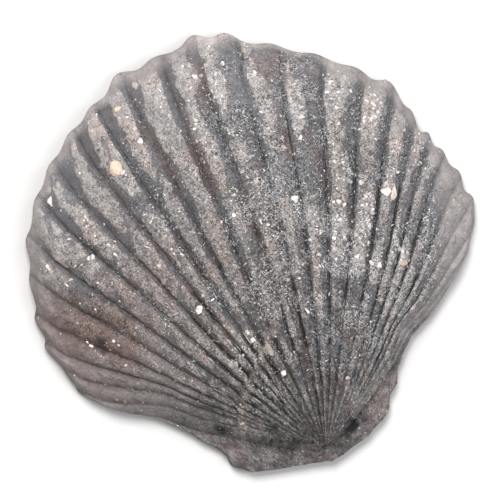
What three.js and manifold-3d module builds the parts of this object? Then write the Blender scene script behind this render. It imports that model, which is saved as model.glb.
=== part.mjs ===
// Fossil scallop: one thick, worn valve, lying on its rim with its ribbed outside up.
//
// Millimetres. +X runs along the hinge, +Y from the beak to the far margin, and +Z up
// from the plane that the rim lies in. The shell fans out from a focus at its beak, so
// most sizes are given at a bearing (degrees from +Y, positive towards +X) and a radius
// (millimetres) about that focus. The origin is the middle of the part's footprint.

import * as THREE from 'three';
import { mergeVertices } from 'three/addons/utils/BufferGeometryUtils.js';
import Module from 'manifold-3d';

// ---------------------------------------------------------------- driving dimensions

// Smooth outline, as [bearing, radius]: the left ear, the left flank, the far margin,
// the right flank and the right ear. Behind the focus it is the nearly straight hinge.
const outlinePoints = [
  [-180, 0.4], [-100, 0.5], [-88, 1.2], [-85.5, 3], [-84, 7.2], [-82, 17], [-80, 20.8],
  [-78, 22], [-76, 24.4], [-70, 25.8], [-66, 28.6], [-64, 31.4], [-62, 35], [-60, 38],
  [-59, 47], [-58, 60], [-56, 66.3], [-52, 73], [-46, 81], [-40, 88.2], [-34, 94.8],
  [-26, 100.8], [-18, 105], [-10, 108.2], [-2, 109.4], [6, 106.6], [14, 102], [22, 97.6],
  [30, 90.6], [38, 82], [44, 76.2], [48, 72], [50, 67.3], [52, 60.4], [53.2, 48],
  [54.5, 30], [56, 27.9], [60, 25.2], [62, 21.4], [66, 20.4], [70, 18.2], [74, 13.4],
  [78, 10.6], [80, 6.5], [84, 4.8], [90, 3.6], [100, 1.5], [180, 0.4],
];

// Worn lobes and broken notches of the margin, as [bearing, half width, how far it
// stands out]; a negative reach is a notch.
const marginWear = [
  [-57, 1.2, 0.8], [-54, 1.8, -1.2], [-51, 1.2, 0.9], [-47, 1.4, 0.8], [-36.4, 1.2, 0.5],
  [-10.7, 1.6, 1.5], [0.6, 1.3, 2.1], [3.9, 1.5, 1.9], [27.2, 1.7, 1.7], [33.1, 1.1, -1.8],
  [35.9, 0.9, -0.9], [42.5, 1.5, 0.6], [47.7, 1.4, 0.9],
];
const ribEndReach = 0.4;      // how far each rib's own end swings the margin out and in
const ribEndPhase = 0.6;      // where along a rib's width that swing starts

// Where the furrows between the ribs meet the margin (bearings), with the outer edges
// of the first and the last rib at the ends.
const furrowBearings = [
  -57, -53.5, -50, -46, -40.5, -35.5, -30, -25, -20, -15.5, -10.5, -4.8, 0, 5.5, 11, 17,
  23, 28, 32.5, 35.6, 38.8, 43, 47, 50.2, 52,
];

// How much further out in bearing a furrow lies at the margin than its own straight run
// would put it, in degrees per 100 mm of length, as [bearing, lean].
const furrowLean = [
  [-58, -12], [-53.5, -11.5], [-50, -7.9], [-46, -4.8], [-40.5, 0], [-30, 1.1], [-15, 1.5],
  [-5, 2], [0, -0.9], [11, -2.1], [23, -1.8], [30, -4], [39, -4.7], [43, -2.6], [47, 1.2],
  [52, 2.4],
];

const shell = {
  middleBearing: -3.5,        // bearing of the valve's crown line
  halfFan: 56.5,              // degrees from the crown line to the flanks' feet
  plate: 3.4,                 // thickness of the ears, the hinge and the rim
  domeRise: 26,               // height that the dome would reach above the plate
  hingeBand: 1.8,             // radius of the low band between the hinge and the umbo
  umboRise: 13.5,             // radius over which the umbo then climbs
  umboPower: 1.15,
  fallPower: 2.6,             // the dome's fall from the crown to the margin
  fallEase: 0.75,
  flankPower: 2.2,            // the dome's fall from the crown line to the flanks
  flankEase: 0.7,
  wall: 3.1,                  // thickness of the wall, square to its surface
  hingePlateDepth: 7,         // solid depth behind the hollow, from the hinge inwards
  hingePlateRamp: 8,
  rimRound: 0.965,            // share of the radius where the worn rim starts to round
  rimDrop: 1.7,
};

const ribs = {
  start: 5,                   // radius where the ribs begin on the worn umbo
  fullBy: 16,
  heightToWidth: 0.2,
  tallest: 1.7,
  umboPower: 3.6,             // flat-topped with narrow furrows near the umbo,
  marginPower: 2.3,           // rounder with wide furrows at the margin
  insideShare: 0.7,           // height of the ribs on the inside of the rim
  insideFrom: 0.6,            // share of the radius where they begin there
};

// An old break across the left of the umbo: inside it the ribs sit a little aside.
const oldBreak = { share: 0.318, from: -56, to: -9, aside: -1.9, drop: 0.55 };

// Shell grit and small pebbles cemented to the outside: [x, y, width, length, height].
const cementedBits = [
  [-28, 85.2, 3.2, 4, 1.3], [34.7, 59, 3, 2.5, 0.9], [11.5, 64.4, 1.8, 2, 0.9],
  [-1.7, 70.6, 2.4, 2.4, 0.7], [-17, 103.4, 1.8, 1.8, 0.9], [-23.1, 99.2, 2, 1.6, 0.9],
  [-2.4, 101, 2.4, 1.6, 0.8], [-46.2, 82.6, 1.8, 1.8, 0.8], [-19.1, 45.5, 2, 1.6, 0.9],
  [-14.6, 30.1, 2.2, 2.2, 0.8], [32.1, 41.2, 2.2, 1.8, 1], [22.4, 47.8, 3.4, 2, 0.7],
];

// Pits that go into the ears beside the beak: [x, y, width, depth].
const earPits = [[7.2, 5.4, 3.4, 1.6], [-11.4, 12.2, 2.6, 1], [-23.3, 15.6, 1.8, 0.9]];

// Places where the two faces are measured: shares of the radius from the beak outwards.
const outerRows = [
  0.05, 0.09, 0.13, 0.17, 0.215, 0.26, 0.3, oldBreak.share, 0.34, 0.39, 0.45, 0.52, 0.59,
  0.66, 0.73, 0.8, 0.865, 0.92, 0.96, 0.985, 1,
];
const innerRows = [0.07, 0.14, 0.24, 0.37, 0.52, 0.67, 0.81, 0.92, 1];
const pointsPerRib = 5;
const leftEarBearings = [-58, -58.7, -59.4, -61, -65, -70, -75, -79, -82.5, -86];
const rightEarBearings = [52.7, 53.4, 54.2, 57, 62, 67, 73, 79, 88, 140];
const beakInset = 3;          // how far in from the hinge edge the faces' middle point is

// ------------------------------------------------------------------- small functions

const radians = THREE.MathUtils.degToRad;
const { clamp, lerp, smoothstep } = THREE.MathUtils;

// A curve through [position, value] pairs that never overshoots between two of them.
function curveThrough(pairs) {
  const last = pairs.length - 1;
  const span = (i) => pairs[i + 1][0] - pairs[i][0];
  const rise = (i) => (pairs[i + 1][1] - pairs[i][1]) / span(i);
  const slopes = pairs.map((pair, i) => {
    if (i === 0) return rise(0);
    if (i === last) return rise(last - 1);
    if (rise(i - 1) * rise(i) <= 0) return 0;
    const before = 2 * span(i) + span(i - 1);
    const after = span(i) + 2 * span(i - 1);
    return (before + after) / (before / rise(i - 1) + after / rise(i));
  });
  return (position) => {
    const x = clamp(position, pairs[0][0], pairs[last][0]);
    let i = 0;
    while (i < last - 1 && x > pairs[i + 1][0]) i += 1;
    const t = (x - pairs[i][0]) / span(i);
    const start = (1 + 2 * t) * (1 - t) ** 2 * pairs[i][1] + t * (1 - t) ** 2 * span(i) * slopes[i];
    const end = t * t * (3 - 2 * t) * pairs[i + 1][1] + t * t * (t - 1) * span(i) * slopes[i + 1];
    return start + end;
  };
}

const smoothOutline = curveThrough(outlinePoints);
const leanAt = curveThrough(furrowLean);

// A rounded bump of height 1 at 0 that is gone beyond 1 on either side.
const bump = (offset) => (Math.abs(offset) < 1 ? Math.cos(offset * Math.PI / 2) ** 2 : 0);

// The rib that a margin bearing lies on: its number, its width in degrees and the place
// across it, 0 in the furrow on its left and 1 in the one on its right.
function ribAtMargin(bearing) {
  const lastRib = furrowBearings.length - 2;
  if (bearing < furrowBearings[0] || bearing > furrowBearings[lastRib + 1]) return null;
  let rib = 0;
  while (rib < lastRib && bearing > furrowBearings[rib + 1]) rib += 1;
  const width = furrowBearings[rib + 1] - furrowBearings[rib];
  return { rib, width, across: (bearing - furrowBearings[rib]) / width };
}

// Radius of the margin, with the ribs' ends, the lobes and the notches.
function marginRadius(bearing) {
  const onRib = ribAtMargin(bearing);
  const swing = onRib ? ribEndReach * Math.sin(2 * Math.PI * (onRib.across - ribEndPhase)) : 0;
  const wear = marginWear.reduce(
    (sum, [at, halfWidth, reach]) => sum + reach * bump((bearing - at) / (2 * halfWidth)), 0);
  return smoothOutline(bearing) + swing + wear;
}

// Bearing, at a radius, of the line that meets the margin at a given bearing.
function bearingAlong(marginBearing, radius) {
  const toMargin = Math.max(marginRadius(marginBearing) - radius, 0) / 100;
  const lean = leanAt(marginBearing) * smoothstep(62 - Math.abs(marginBearing), 0, 3);
  const share = radius / marginRadius(marginBearing);
  const within = smoothstep(marginBearing, oldBreak.from - 4, oldBreak.from)
    * (1 - smoothstep(marginBearing, oldBreak.to - 6, oldBreak.to));
  const aside = oldBreak.aside * within * (1 - smoothstep(share, oldBreak.share, 0.34));
  return marginBearing - lean * toMargin + aside;
}

// How far the dome stands above the plate at a bearing and a radius.
function domeHeight(bearing, radius) {
  const discEdge = smoothOutline(clamp(bearing, -57, 50));
  const share = Math.min(radius / discEdge, 1);
  const aside = Math.min(Math.abs(bearing - shell.middleBearing) / shell.halfFan, 1);
  const beyondBand = Math.max(radius - shell.hingeBand, 0);
  const climb = 1 - Math.exp(-((beyondBand / shell.umboRise) ** shell.umboPower));
  const fall = (1 - share ** shell.fallPower) ** shell.fallEase;
  const flank = (1 - aside ** shell.flankPower) ** shell.flankEase;
  return shell.domeRise * climb * fall * flank;
}

// Slow swells and hollows that keep the worn surface from being perfectly regular.
const unevenness = (x, y) => 0.22 * Math.sin(x / 9 + y / 17 + 1) * Math.sin(y / 11 - x / 23);

// Height of a rib above its furrows, at a place across it and a radius.
function ribHeight({ rib, width, across }, radius, share) {
  const widthHere = radians(width) * radius;
  const grown = smoothstep(radius, ribs.start, ribs.fullBy);
  const worn = 1 + 0.12 * Math.sin(rib * 2.4 + radius / 14);
  const tall = Math.min(ribs.heightToWidth * widthHere, ribs.tallest) * grown * worn;
  const power = lerp(ribs.umboPower, ribs.marginPower, share);
  return tall * (1 - Math.abs(2 * across - 1) ** power);
}

// A point of the part's plan from a bearing and a radius about the focus, drawn in to
// the faces' middle point near the beak.
function planPoint(bearing, radius, share) {
  const x = radius * Math.sin(radians(bearing));
  const y = radius * Math.cos(radians(bearing)) + beakInset * (1 - share) ** 4;
  return { x, y };
}

const bearingOf = (x, y) => THREE.MathUtils.radToDeg(Math.atan2(x, y));

// Outer face at a plan point that lies on the line of a given margin bearing.
function outerHeight(marginBearing, share) {
  const radius = share * marginRadius(marginBearing);
  const { x, y } = planPoint(bearingAlong(marginBearing, radius), radius, share);
  const spread = Math.hypot(x, y);
  const onRib = ribAtMargin(marginBearing);
  const rib = onRib ? ribHeight(onRib, radius, share) : 0;
  const rounded = shell.rimDrop * smoothstep(share, shell.rimRound, 1) ** 2;
  const inBreak = onRib && marginBearing < oldBreak.to && share === oldBreak.share;
  const height = shell.plate + domeHeight(bearingOf(x, y), spread) + rib - rounded
    + unevenness(x, y) * smoothstep(spread, 10, 30) * (1 - smoothstep(share, 0.9, 1));
  return { x, y, z: height - (inBreak ? oldBreak.drop : 0) };
}

// Inner face: the dome less the wall, measured square to the dome's slope, with the
// hinge plate and the ears flat on the ground and the ribs showing near the rim.
function innerHeight(marginBearing, share) {
  const radius = share * marginRadius(marginBearing);
  const { x, y } = planPoint(bearingAlong(marginBearing, radius), radius, share);
  const step = 0.5;
  const dome = (px, py) => domeHeight(bearingOf(px, py), Math.hypot(px, py));
  const slopeX = (dome(x + step, y) - dome(x - step, y)) / (2 * step);
  const slopeY = (dome(x, y + step) - dome(x, y - step)) / (2 * step);
  const upright = shell.wall * Math.sqrt(1 + Math.min(slopeX ** 2 + slopeY ** 2, 9));
  const open = smoothstep(y, shell.hingePlateDepth, shell.hingePlateDepth + shell.hingePlateRamp);
  const hollow = Math.max(shell.plate + dome(x, y) - upright, 0) * open;
  const onRib = ribAtMargin(marginBearing);
  const rib = onRib ? ribHeight(onRib, radius, share) * ribs.insideShare : 0;
  return { x, y, z: hollow * (1 - smoothstep(share, 0.955, 1))
    + rib * smoothstep(share, ribs.insideFrom, 1) };
}

// ---------------------------------------------------------------------- building it

// Every line of the mesh runs from the beak to the outline; they go once round it.
function marginBearings() {
  const onRibs = [];
  for (let rib = 0; rib < furrowBearings.length - 1; rib += 1) {
    for (let point = 0; point < pointsPerRib; point += 1) {
      onRibs.push(lerp(furrowBearings[rib], furrowBearings[rib + 1], point / pointsPerRib));
    }
  }
  onRibs.push(furrowBearings.at(-1));
  return [...leftEarBearings.toReversed(), ...onRibs, ...rightEarBearings];
}

// The closed body of the valve: the outer face, the inner face and the rim between them.
function valveBody() {
  const bearings = marginBearings();
  const positions = [];
  const triangles = [];
  const addPoint = ({ x, y, z }) => positions.push(x, y, z) / 3 - 1;
  const addFace = (heightAt, rows, outward) => {
    const middle = addPoint(heightAt(0, 0));
    const rings = rows.map((share) => bearings.map((bearing) => addPoint(heightAt(bearing, share))));
    const addTriangle = (a, b, c) => triangles.push(...(outward ? [a, b, c] : [a, c, b]));
    bearings.forEach((bearing, i) => {
      const next = (i + 1) % bearings.length;
      addTriangle(middle, rings[0][next], rings[0][i]);
      for (let row = 0; row < rows.length - 1; row += 1) {
        const [near, far] = [rings[row], rings[row + 1]];
        addTriangle(near[i], near[next], far[i]);
        addTriangle(near[next], far[next], far[i]);
      }
    });
    return rings.at(-1);
  };
  const outerEdge = addFace(outerHeight, outerRows, true);
  const innerEdge = addFace(innerHeight, innerRows, false);
  bearings.forEach((bearing, i) => {
    const next = (i + 1) % bearings.length;
    triangles.push(outerEdge[i], outerEdge[next], innerEdge[i]);
    triangles.push(outerEdge[next], innerEdge[next], innerEdge[i]);
  });
  const geometry = new THREE.BufferGeometry();
  geometry.setAttribute('position', new THREE.Float32BufferAttribute(positions, 3));
  geometry.setIndex(triangles);
  return geometry;
}

const wasm = await Module();
wasm.setup();

function toSolid(geometry) {
  const bare = geometry.clone();
  bare.deleteAttribute('normal');
  bare.deleteAttribute('uv');
  const merged = mergeVertices(bare, 1e-4);
  return new wasm.Manifold(new wasm.Mesh({
    numProp: 3,
    vertProperties: Float32Array.from(merged.attributes.position.array),
    triVerts: Uint32Array.from(merged.index.array),
  }));
}

function toGeometry(solid) {
  const mesh = solid.getMesh();
  const geometry = new THREE.BufferGeometry();
  geometry.setAttribute('position', new THREE.BufferAttribute(mesh.vertProperties, 3));
  geometry.setIndex(new THREE.BufferAttribute(mesh.triVerts, 1));
  return geometry;
}

// Height of the outer face at a plan point, found on the rib that passes under it.
function surfaceAt(x, y) {
  const bearing = bearingOf(x, y);
  const radius = Math.hypot(x, y);
  let onMargin = bearing;
  for (let pass = 0; pass < 6; pass += 1) {
    onMargin += bearing - bearingAlong(onMargin, radius);
  }
  return outerHeight(onMargin, radius / marginRadius(onMargin)).z;
}

// A rough lump, of many small faces, half sunk at a point of the outer face.
function lump(x, y, width, length, height, turn) {
  const geometry = new THREE.IcosahedronGeometry(1, width > 3.1 ? 1 : 0);
  geometry.scale(width / 2, length / 2, height);
  geometry.rotateZ(turn);
  geometry.translate(x, y, surfaceAt(x, y));
  return geometry;
}

let valve = toSolid(valveBody());
cementedBits.forEach(([x, y, width, length, height], i) => {
  valve = valve.add(toSolid(lump(x, y, width, length, height, i * 1.3)));
});
earPits.forEach(([x, y, width, depth], i) => {
  valve = valve.subtract(toSolid(lump(x, y, width, width, depth, i * 0.9)));
});

const valveGeometry = toGeometry(valve);
valveGeometry.computeBoundingBox();
const { min, max } = valveGeometry.boundingBox;
valveGeometry.translate(-(min.x + max.x) / 2, -(min.y + max.y) / 2, -min.z);
valveGeometry.computeVertexNormals();

const fossilShell = new THREE.MeshStandardMaterial({
  color: 0x7d7877,
  roughness: 0.8,
  metalness: 0,
  flatShading: true,
});
const scallopValve = new THREE.Mesh(valveGeometry, fossilShell);
scallopValve.name = 'scallop_valve';

const group = new THREE.Group();
group.add(scallopValve);

export default group;
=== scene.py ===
# %% [markdown]
# # A fossil scallop
# One thick valve, turned to dark grey stone and lying on its rim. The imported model
# has its ribs, its outline and its hollow. This script makes the same valve again,
# with enough points for its worn relief, and then scatters on it the sand and the
# broken shell that are cemented to it.

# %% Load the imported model
import bpy
import numpy as np
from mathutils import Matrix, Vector


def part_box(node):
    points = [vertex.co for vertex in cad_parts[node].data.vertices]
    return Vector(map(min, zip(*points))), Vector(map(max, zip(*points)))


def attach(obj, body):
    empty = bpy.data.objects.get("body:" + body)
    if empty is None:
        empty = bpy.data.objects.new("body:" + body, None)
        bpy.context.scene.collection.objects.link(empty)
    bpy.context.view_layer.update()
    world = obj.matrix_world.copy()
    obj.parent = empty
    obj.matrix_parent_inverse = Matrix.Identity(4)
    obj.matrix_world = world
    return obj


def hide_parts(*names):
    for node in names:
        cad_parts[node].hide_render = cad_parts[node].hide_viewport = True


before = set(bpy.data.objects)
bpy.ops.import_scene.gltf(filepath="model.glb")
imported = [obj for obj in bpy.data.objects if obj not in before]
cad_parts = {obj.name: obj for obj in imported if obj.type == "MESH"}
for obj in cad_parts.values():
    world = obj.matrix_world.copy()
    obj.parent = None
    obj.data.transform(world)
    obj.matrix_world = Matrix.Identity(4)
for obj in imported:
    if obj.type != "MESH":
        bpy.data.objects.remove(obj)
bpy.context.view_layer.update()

valve_low, valve_high = (np.array(corner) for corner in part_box("scallop_valve"))
MM = 0.001
print("valve box, mm:", np.round((valve_high - valve_low) / MM, 2))

# %% [markdown]
# ## Smooth steps and random hills
# Wear has no formula of its own, so it is made of random hills: a lattice of random
# heights, blended from corner to corner. Adding finer and finer lattices gives a rough
# surface with detail at every size. Working it out once per point, instead of in the
# shader, lets the same hills move the mesh, tint it and say where the sand lies. A
# mark that is in one place only is a soft spot: a bell curve round a point, squeezed
# along its own direction.

# %% Smooth steps and random hills
LATTICE, FAR_OFF = 256, (512.3, 512.7)


def s_step(value, low, high):
    """0 below low, 1 above high, and the s-shaped 3t^2 - 2t^3 in between."""
    t = np.clip((value - low) / (high - low), 0, 1)
    return t * t * (3 - 2 * t)


def s_fall(value, low, high):
    """1 below low and 0 above high: one minus the s-step."""
    return 1 - s_step(value, low, high)


def hills(x, y, cell, seed, rounds=1):
    """Random hills about one cell wide, from -1 to 1.

    Each round blends four lattice corners with an s-step, and the next round has half
    the cell and half the height, on a lattice that is turned so that no grid shows.
    """
    total, weight = 0.0, 0.0
    for number in range(rounds):
        random = np.random.default_rng(seed * 31 + number)
        corner = random.uniform(-1, 1, (LATTICE, LATTICE))
        turn = random.uniform(0, 2 * np.pi)
        u = (x * np.cos(turn) + y * np.sin(turn)) / cell + FAR_OFF[0]
        v = (y * np.cos(turn) - x * np.sin(turn)) / cell + FAR_OFF[1]
        i, j = np.floor(u).astype(int), np.floor(v).astype(int)
        a, b = s_step(u - i, 0, 1), s_step(v - j, 0, 1)
        left, right = i % LATTICE, (i + 1) % LATTICE
        low, high = j % LATTICE, (j + 1) % LATTICE
        near = corner[left, low] * (1 - a) + corner[right, low] * a
        far = corner[left, high] * (1 - a) + corner[right, high] * a
        total = total + (near * (1 - b) + far * b) * 0.5 ** number
        weight += 0.5 ** number
        cell = cell / 2
    return total / weight


def spot(x, y, at, size, turn=0.0):
    """A bell curve, 1 at a point: exp(-(u^2 + v^2)), u and v the turned distances over
    the two sizes."""
    angle = np.radians(turn)
    dx, dy = x - at[0], y - at[1]
    u = (dx * np.cos(angle) + dy * np.sin(angle)) / size[0]
    v = (dy * np.cos(angle) - dx * np.sin(angle)) / size[1]
    return np.exp(-(u * u + v * v))


sample = hills(np.linspace(0, 50, 500), np.zeros(500), 4, 1, 3)
print("hills run from", sample.min().round(2), "to", sample.max().round(2))

# %% [markdown]
# ## The outline
# A scallop grows outwards from its beak, so everything is given at a bearing (degrees
# from straight ahead) and a radius about that point. The outline is a few points
# joined by a curve that never overshoots, which keeps the corners of the ears crisp. A
# Bezier curve could draw it too, but this one can be asked for its radius at any bearing.
# The margin then gets its worn lobes, its notches and the ends of its ribs.

# %% The outline
# pairs of a bearing and a radius
OUTLINE = [
    (-180, 0.4), (-100, 0.5), (-88, 1.2), (-85.5, 3), (-84, 7.2), (-82, 17), (-80, 20.8),
    (-78, 22), (-76, 24.4), (-70, 25.8), (-66, 28.6), (-64, 31.4), (-62, 35), (-60, 38),
    (-59, 47), (-58, 60), (-56, 66.3), (-52, 73), (-46, 81), (-40, 88.2), (-34, 94.8),
    (-26, 100.8), (-18, 105), (-10, 108.2), (-2, 109.4), (6, 106.6), (14, 102), (22, 97.6),
    (30, 90.6), (38, 82), (44, 76.2), (48, 72), (50, 67.3), (52, 60.4), (53.2, 48),
    (54.5, 30), (56, 27.9), (60, 25.2), (62, 21.4), (66, 20.4), (70, 18.2), (74, 13.4),
    (78, 10.6), (80, 6.5), (84, 4.8), (90, 3.6), (100, 1.5), (180, 0.4),
]
# each lobe or notch: its bearing, its half width in degrees and its reach in mm
MARGIN_WEAR = [
    (-57, 1.2, 0.8), (-54, 1.8, -1.2), (-51, 1.2, 0.9), (-47, 1.4, 0.8), (-36.4, 1.2, 0.5),
    (-10.7, 1.6, 1.5), (0.6, 1.3, 2.1), (3.9, 1.5, 1.9), (27.2, 1.7, 1.7), (33.1, 1.1, -1.8),
    (35.9, 0.9, -0.9), (42.5, 1.5, 0.6), (47.7, 1.4, 0.9),
]
RIB_END_REACH, RIB_END_PHASE = 0.4, 0.6
FURROWS = np.array([
    -57, -53.5, -50, -46, -40.5, -35.5, -30, -25, -20, -15.5, -10.5, -4.8, 0, 5.5, 11, 17,
    23, 28, 32.5, 35.6, 38.8, 43, 47, 50.2, 52,
])
# pairs of a furrow's bearing and its lean, in degrees for each 100 mm that it has to go
FURROW_LEAN = [
    (-58, -12), (-53.5, -11.5), (-50, -7.9), (-46, -4.8), (-40.5, 0), (-30, 1.1), (-15, 1.5),
    (-5, 2), (0, -0.9), (11, -2.1), (23, -1.8), (30, -4), (39, -4.7), (43, -2.6), (47, 1.2),
    (52, 2.4),
]
LEAN_WHOLE, LEAN_NONE = 59, 62
RIB_COUNT = len(FURROWS) - 1


def curve_through(pairs):
    """A curve through (place, value) pairs that never overshoots: cubics whose slope at
    a pair is the harmonic mean of the rises beside it, or 0 where it is a peak."""
    at, value = np.array(pairs, float).T
    span = np.diff(at)
    rise = np.diff(value) / span
    before, after = 2 * span[1:] + span[:-1], span[1:] + 2 * span[:-1]
    same_way = rise[:-1] * rise[1:] > 0
    low, high = np.where(same_way, rise[:-1], 1), np.where(same_way, rise[1:], 1)
    bend = np.where(same_way, (before + after) / (before / low + after / high), 0)
    slope = np.concatenate([rise[:1], bend, rise[-1:]])

    def curve(place):
        x = np.clip(place, at[0], at[-1])
        i = np.clip(np.searchsorted(at, x, side="right") - 1, 0, len(span) - 1)
        t = (x - at[i]) / span[i]
        start = (1 + 2 * t) * (1 - t) ** 2 * value[i] + t * (1 - t) ** 2 * span[i] * slope[i]
        end = t * t * (3 - 2 * t) * value[i + 1] + t * t * (t - 1) * span[i] * slope[i + 1]
        return start + end

    return curve


smooth_outline = curve_through(OUTLINE)
lean_at = curve_through(FURROW_LEAN)


def rib_place(bearing):
    """Which rib a margin bearing lies on: its number, its width in degrees, the place
    across it (0 at its left furrow, 1 at its right one) and whether it is on one."""
    rib = np.clip(np.searchsorted(FURROWS, bearing, side="left") - 1, 0, RIB_COUNT - 1)
    width = FURROWS[rib + 1] - FURROWS[rib]
    across = np.clip((bearing - FURROWS[rib]) / width, 0, 1)
    return rib, width, across, (bearing >= FURROWS[0]) & (bearing <= FURROWS[-1])


def margin_radius(bearing):
    """Smooth outline, plus a sine over each rib's end, plus a squared-cosine bump for
    each lobe or notch."""
    _, _, across, on_rib = rib_place(bearing)
    swing = RIB_END_REACH * np.sin(2 * np.pi * (across - RIB_END_PHASE)) * on_rib
    wear = np.zeros_like(np.asarray(bearing, float))
    for at, half_width, reach in MARGIN_WEAR:
        offset = np.clip((bearing - at) / (2 * half_width), -1, 1)
        wear = wear + reach * np.cos(offset * np.pi / 2) ** 2
    return smooth_outline(bearing) + swing + wear


print("ribs:", RIB_COUNT, " reach at the crown, mm:", margin_radius(np.array([-3.5])).round(1))

# %% [markdown]
# ## The dome and its ribs
# The valve bulges like a shallow bowl turned over: it climbs quickly at the umbo, falls
# slowly to the far margin, and drops to both flanks, which draw in a little just above
# the ears. Each rib is a strip between two furrows. A power of the place across it says
# how flat its top is, and another power leans it slightly, so that its side towards the
# crown line is the steeper one. Its line bows a little to the left, as the valve grew.

# %% Measures of the dome
MIDDLE_BEARING, HALF_FAN, FAN_ENDS = -3.5, 56.5, (-57, 50)
PLATE = 3.4
DOME_RISE = 26
HINGE_BAND, UMBO_RISE, UMBO_POWER = 2.6, 13, 1.12
FALL_POWER, FALL_EASE = 2.6, 0.75
FLANK_POWER, FLANK_EASE = 2.2, 0.7
WALL = 3.1
HINGE_PLATE_DEPTH, HINGE_PLATE_RAMP = 7, 8
RIM_ROUND, RIM_DROP = 0.965, 1.7
BEAK_INSET = 3
UMBO_TIP, TIP_POWER = 3.4, 1.8
# each waist: side (-1 is left), radius and length in mm, depth in degrees
WAISTS = [(-1, 43.5, 7.5, 1.7), (1, 36.5, 6, 2.1)]
print("the wall is", WALL, "mm thick and the hinge plate", PLATE, "mm")

# %% Measures of the ribs
RIB_START, RIB_FULL = 3, 10
RIB_HEIGHT_TO_WIDTH, TALLEST_RIB = 0.22, 1.5
RIB_POWER_UMBO, RIB_POWER_MARGIN = 3.2, 2.9
RIB_SKEW = 0.02
CROWN_WIDTH = 10
WORN, WORN_TURN, WORN_LENGTH = 0.12, 2.4, 14
LEFT_LOWER, LEFT_ROUNDER = 0.25, 1.1
BREAK_FROM, BREAK_TO, BREAK_ASIDE, BREAK_BLEND = -56, -5, -1.9, 2.4
BREAK_PATH = [(-58, 22), (-41, 25), (-26, 26.8), (-13, 29.6), (-4.6, 34.5), (1, 42)]
BOW, BOW_OUTSIDE, BOW_LEFT = 0.3, 0.6, 0.6
print("the tallest rib stands", TALLEST_RIB, "mm over its furrows")

# %% The dome and its ribs
break_radius = curve_through(BREAK_PATH)


def waist(side, radius):
    """How far a flank draws in above its ear, in degrees: a bell curve of the radius for
    each side, -1 being left and 1 right."""
    return sum(depth * np.exp(-((radius - at) / length) ** 2) * (side * way > 0)
               for way, at, length, depth in WAISTS)


def half_fan(radius, side):
    """Half angle of the dome at a radius, less the waist. It closes over the umbo's blunt
    tip, as the square root of 1 - (tip / radius) ^ power."""
    tip = np.minimum(UMBO_TIP / np.maximum(radius, 0.1), 0.999)
    return HALF_FAN * np.sqrt(1 - tip ** TIP_POWER) - waist(side, radius)


def bow_mm(margin_bearing, radius):
    """How far a line bows to the left, in mm: a little in the middle, more on the left
    and further out, and nothing at the umbo or at the margin itself."""
    share = radius / margin_radius(margin_bearing)
    off_middle = 1 - np.exp(-((margin_bearing + 10) / 7) ** 2)
    bow = BOW + BOW_OUTSIDE * off_middle * s_step(share, 0.6, 0.85)
    bow = bow + BOW_LEFT * s_fall(margin_bearing, -50, -40)
    bow = bow * s_step(radius, 15, 40) * s_fall(share, 0.9, 1)
    return bow * s_fall(margin_bearing, 36, 48)


def bearing_along(margin_bearing, radius):
    """Bearing, at a radius, of the line that meets the margin at margin_bearing: lines
    lean in proportion to how far they still have to go, bow, step aside in the break, and
    on the flanks draw in with the waist."""
    to_go = np.maximum(margin_radius(margin_bearing) - radius, 0) / 100
    lean = lean_at(margin_bearing) * s_fall(np.abs(margin_bearing), LEAN_WHOLE, LEAN_NONE)
    within = s_step(margin_bearing, BREAK_FROM - 4, BREAK_FROM)
    within = within * s_fall(margin_bearing, BREAK_TO - 6, BREAK_TO)
    aside = BREAK_ASIDE * within * s_fall(radius - break_radius(margin_bearing), 0, BREAK_BLEND)
    bow = np.degrees(bow_mm(margin_bearing, radius) / np.maximum(radius, 1))
    on_flank = s_step(np.abs(margin_bearing - MIDDLE_BEARING), 40, 54)
    drawn_in = waist(margin_bearing, radius) * on_flank
    return margin_bearing - lean * to_go + aside - bow - drawn_in * np.sign(margin_bearing)


def plan_point(margin_bearing, share):
    """Plan x and y, in mm about the beak, of a share of the way out along a line."""
    radius = share * margin_radius(margin_bearing)
    bearing = np.radians(bearing_along(margin_bearing, radius))
    return radius * np.sin(bearing), radius * np.cos(bearing) + BEAK_INSET * (1 - share) ** 4


def dome_height(x, y):
    """Rise above the plate: an exponential climb off the hinge, times a power-law fall to
    the margin, times a power-law fall to the flanks."""
    radius, bearing = np.hypot(x, y), np.degrees(np.arctan2(x, y))
    share = np.minimum(radius / smooth_outline(np.clip(bearing, *FAN_ENDS)), 1)
    aside = np.minimum(np.abs(bearing - MIDDLE_BEARING) / half_fan(radius, bearing), 1)
    beyond = np.maximum(radius - HINGE_BAND, 0)
    climb = 1 - np.exp(-((beyond / UMBO_RISE) ** UMBO_POWER))
    fall = (1 - share ** FALL_POWER) ** FALL_EASE
    return DOME_RISE * climb * fall * (1 - aside ** FLANK_POWER) ** FLANK_EASE


def outward_side(margin_bearing):
    """-1 on the left half, 1 on the right half, turning over gently at the crown line."""
    return np.tanh((margin_bearing - MIDDLE_BEARING) / CROWN_WIDTH)


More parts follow.
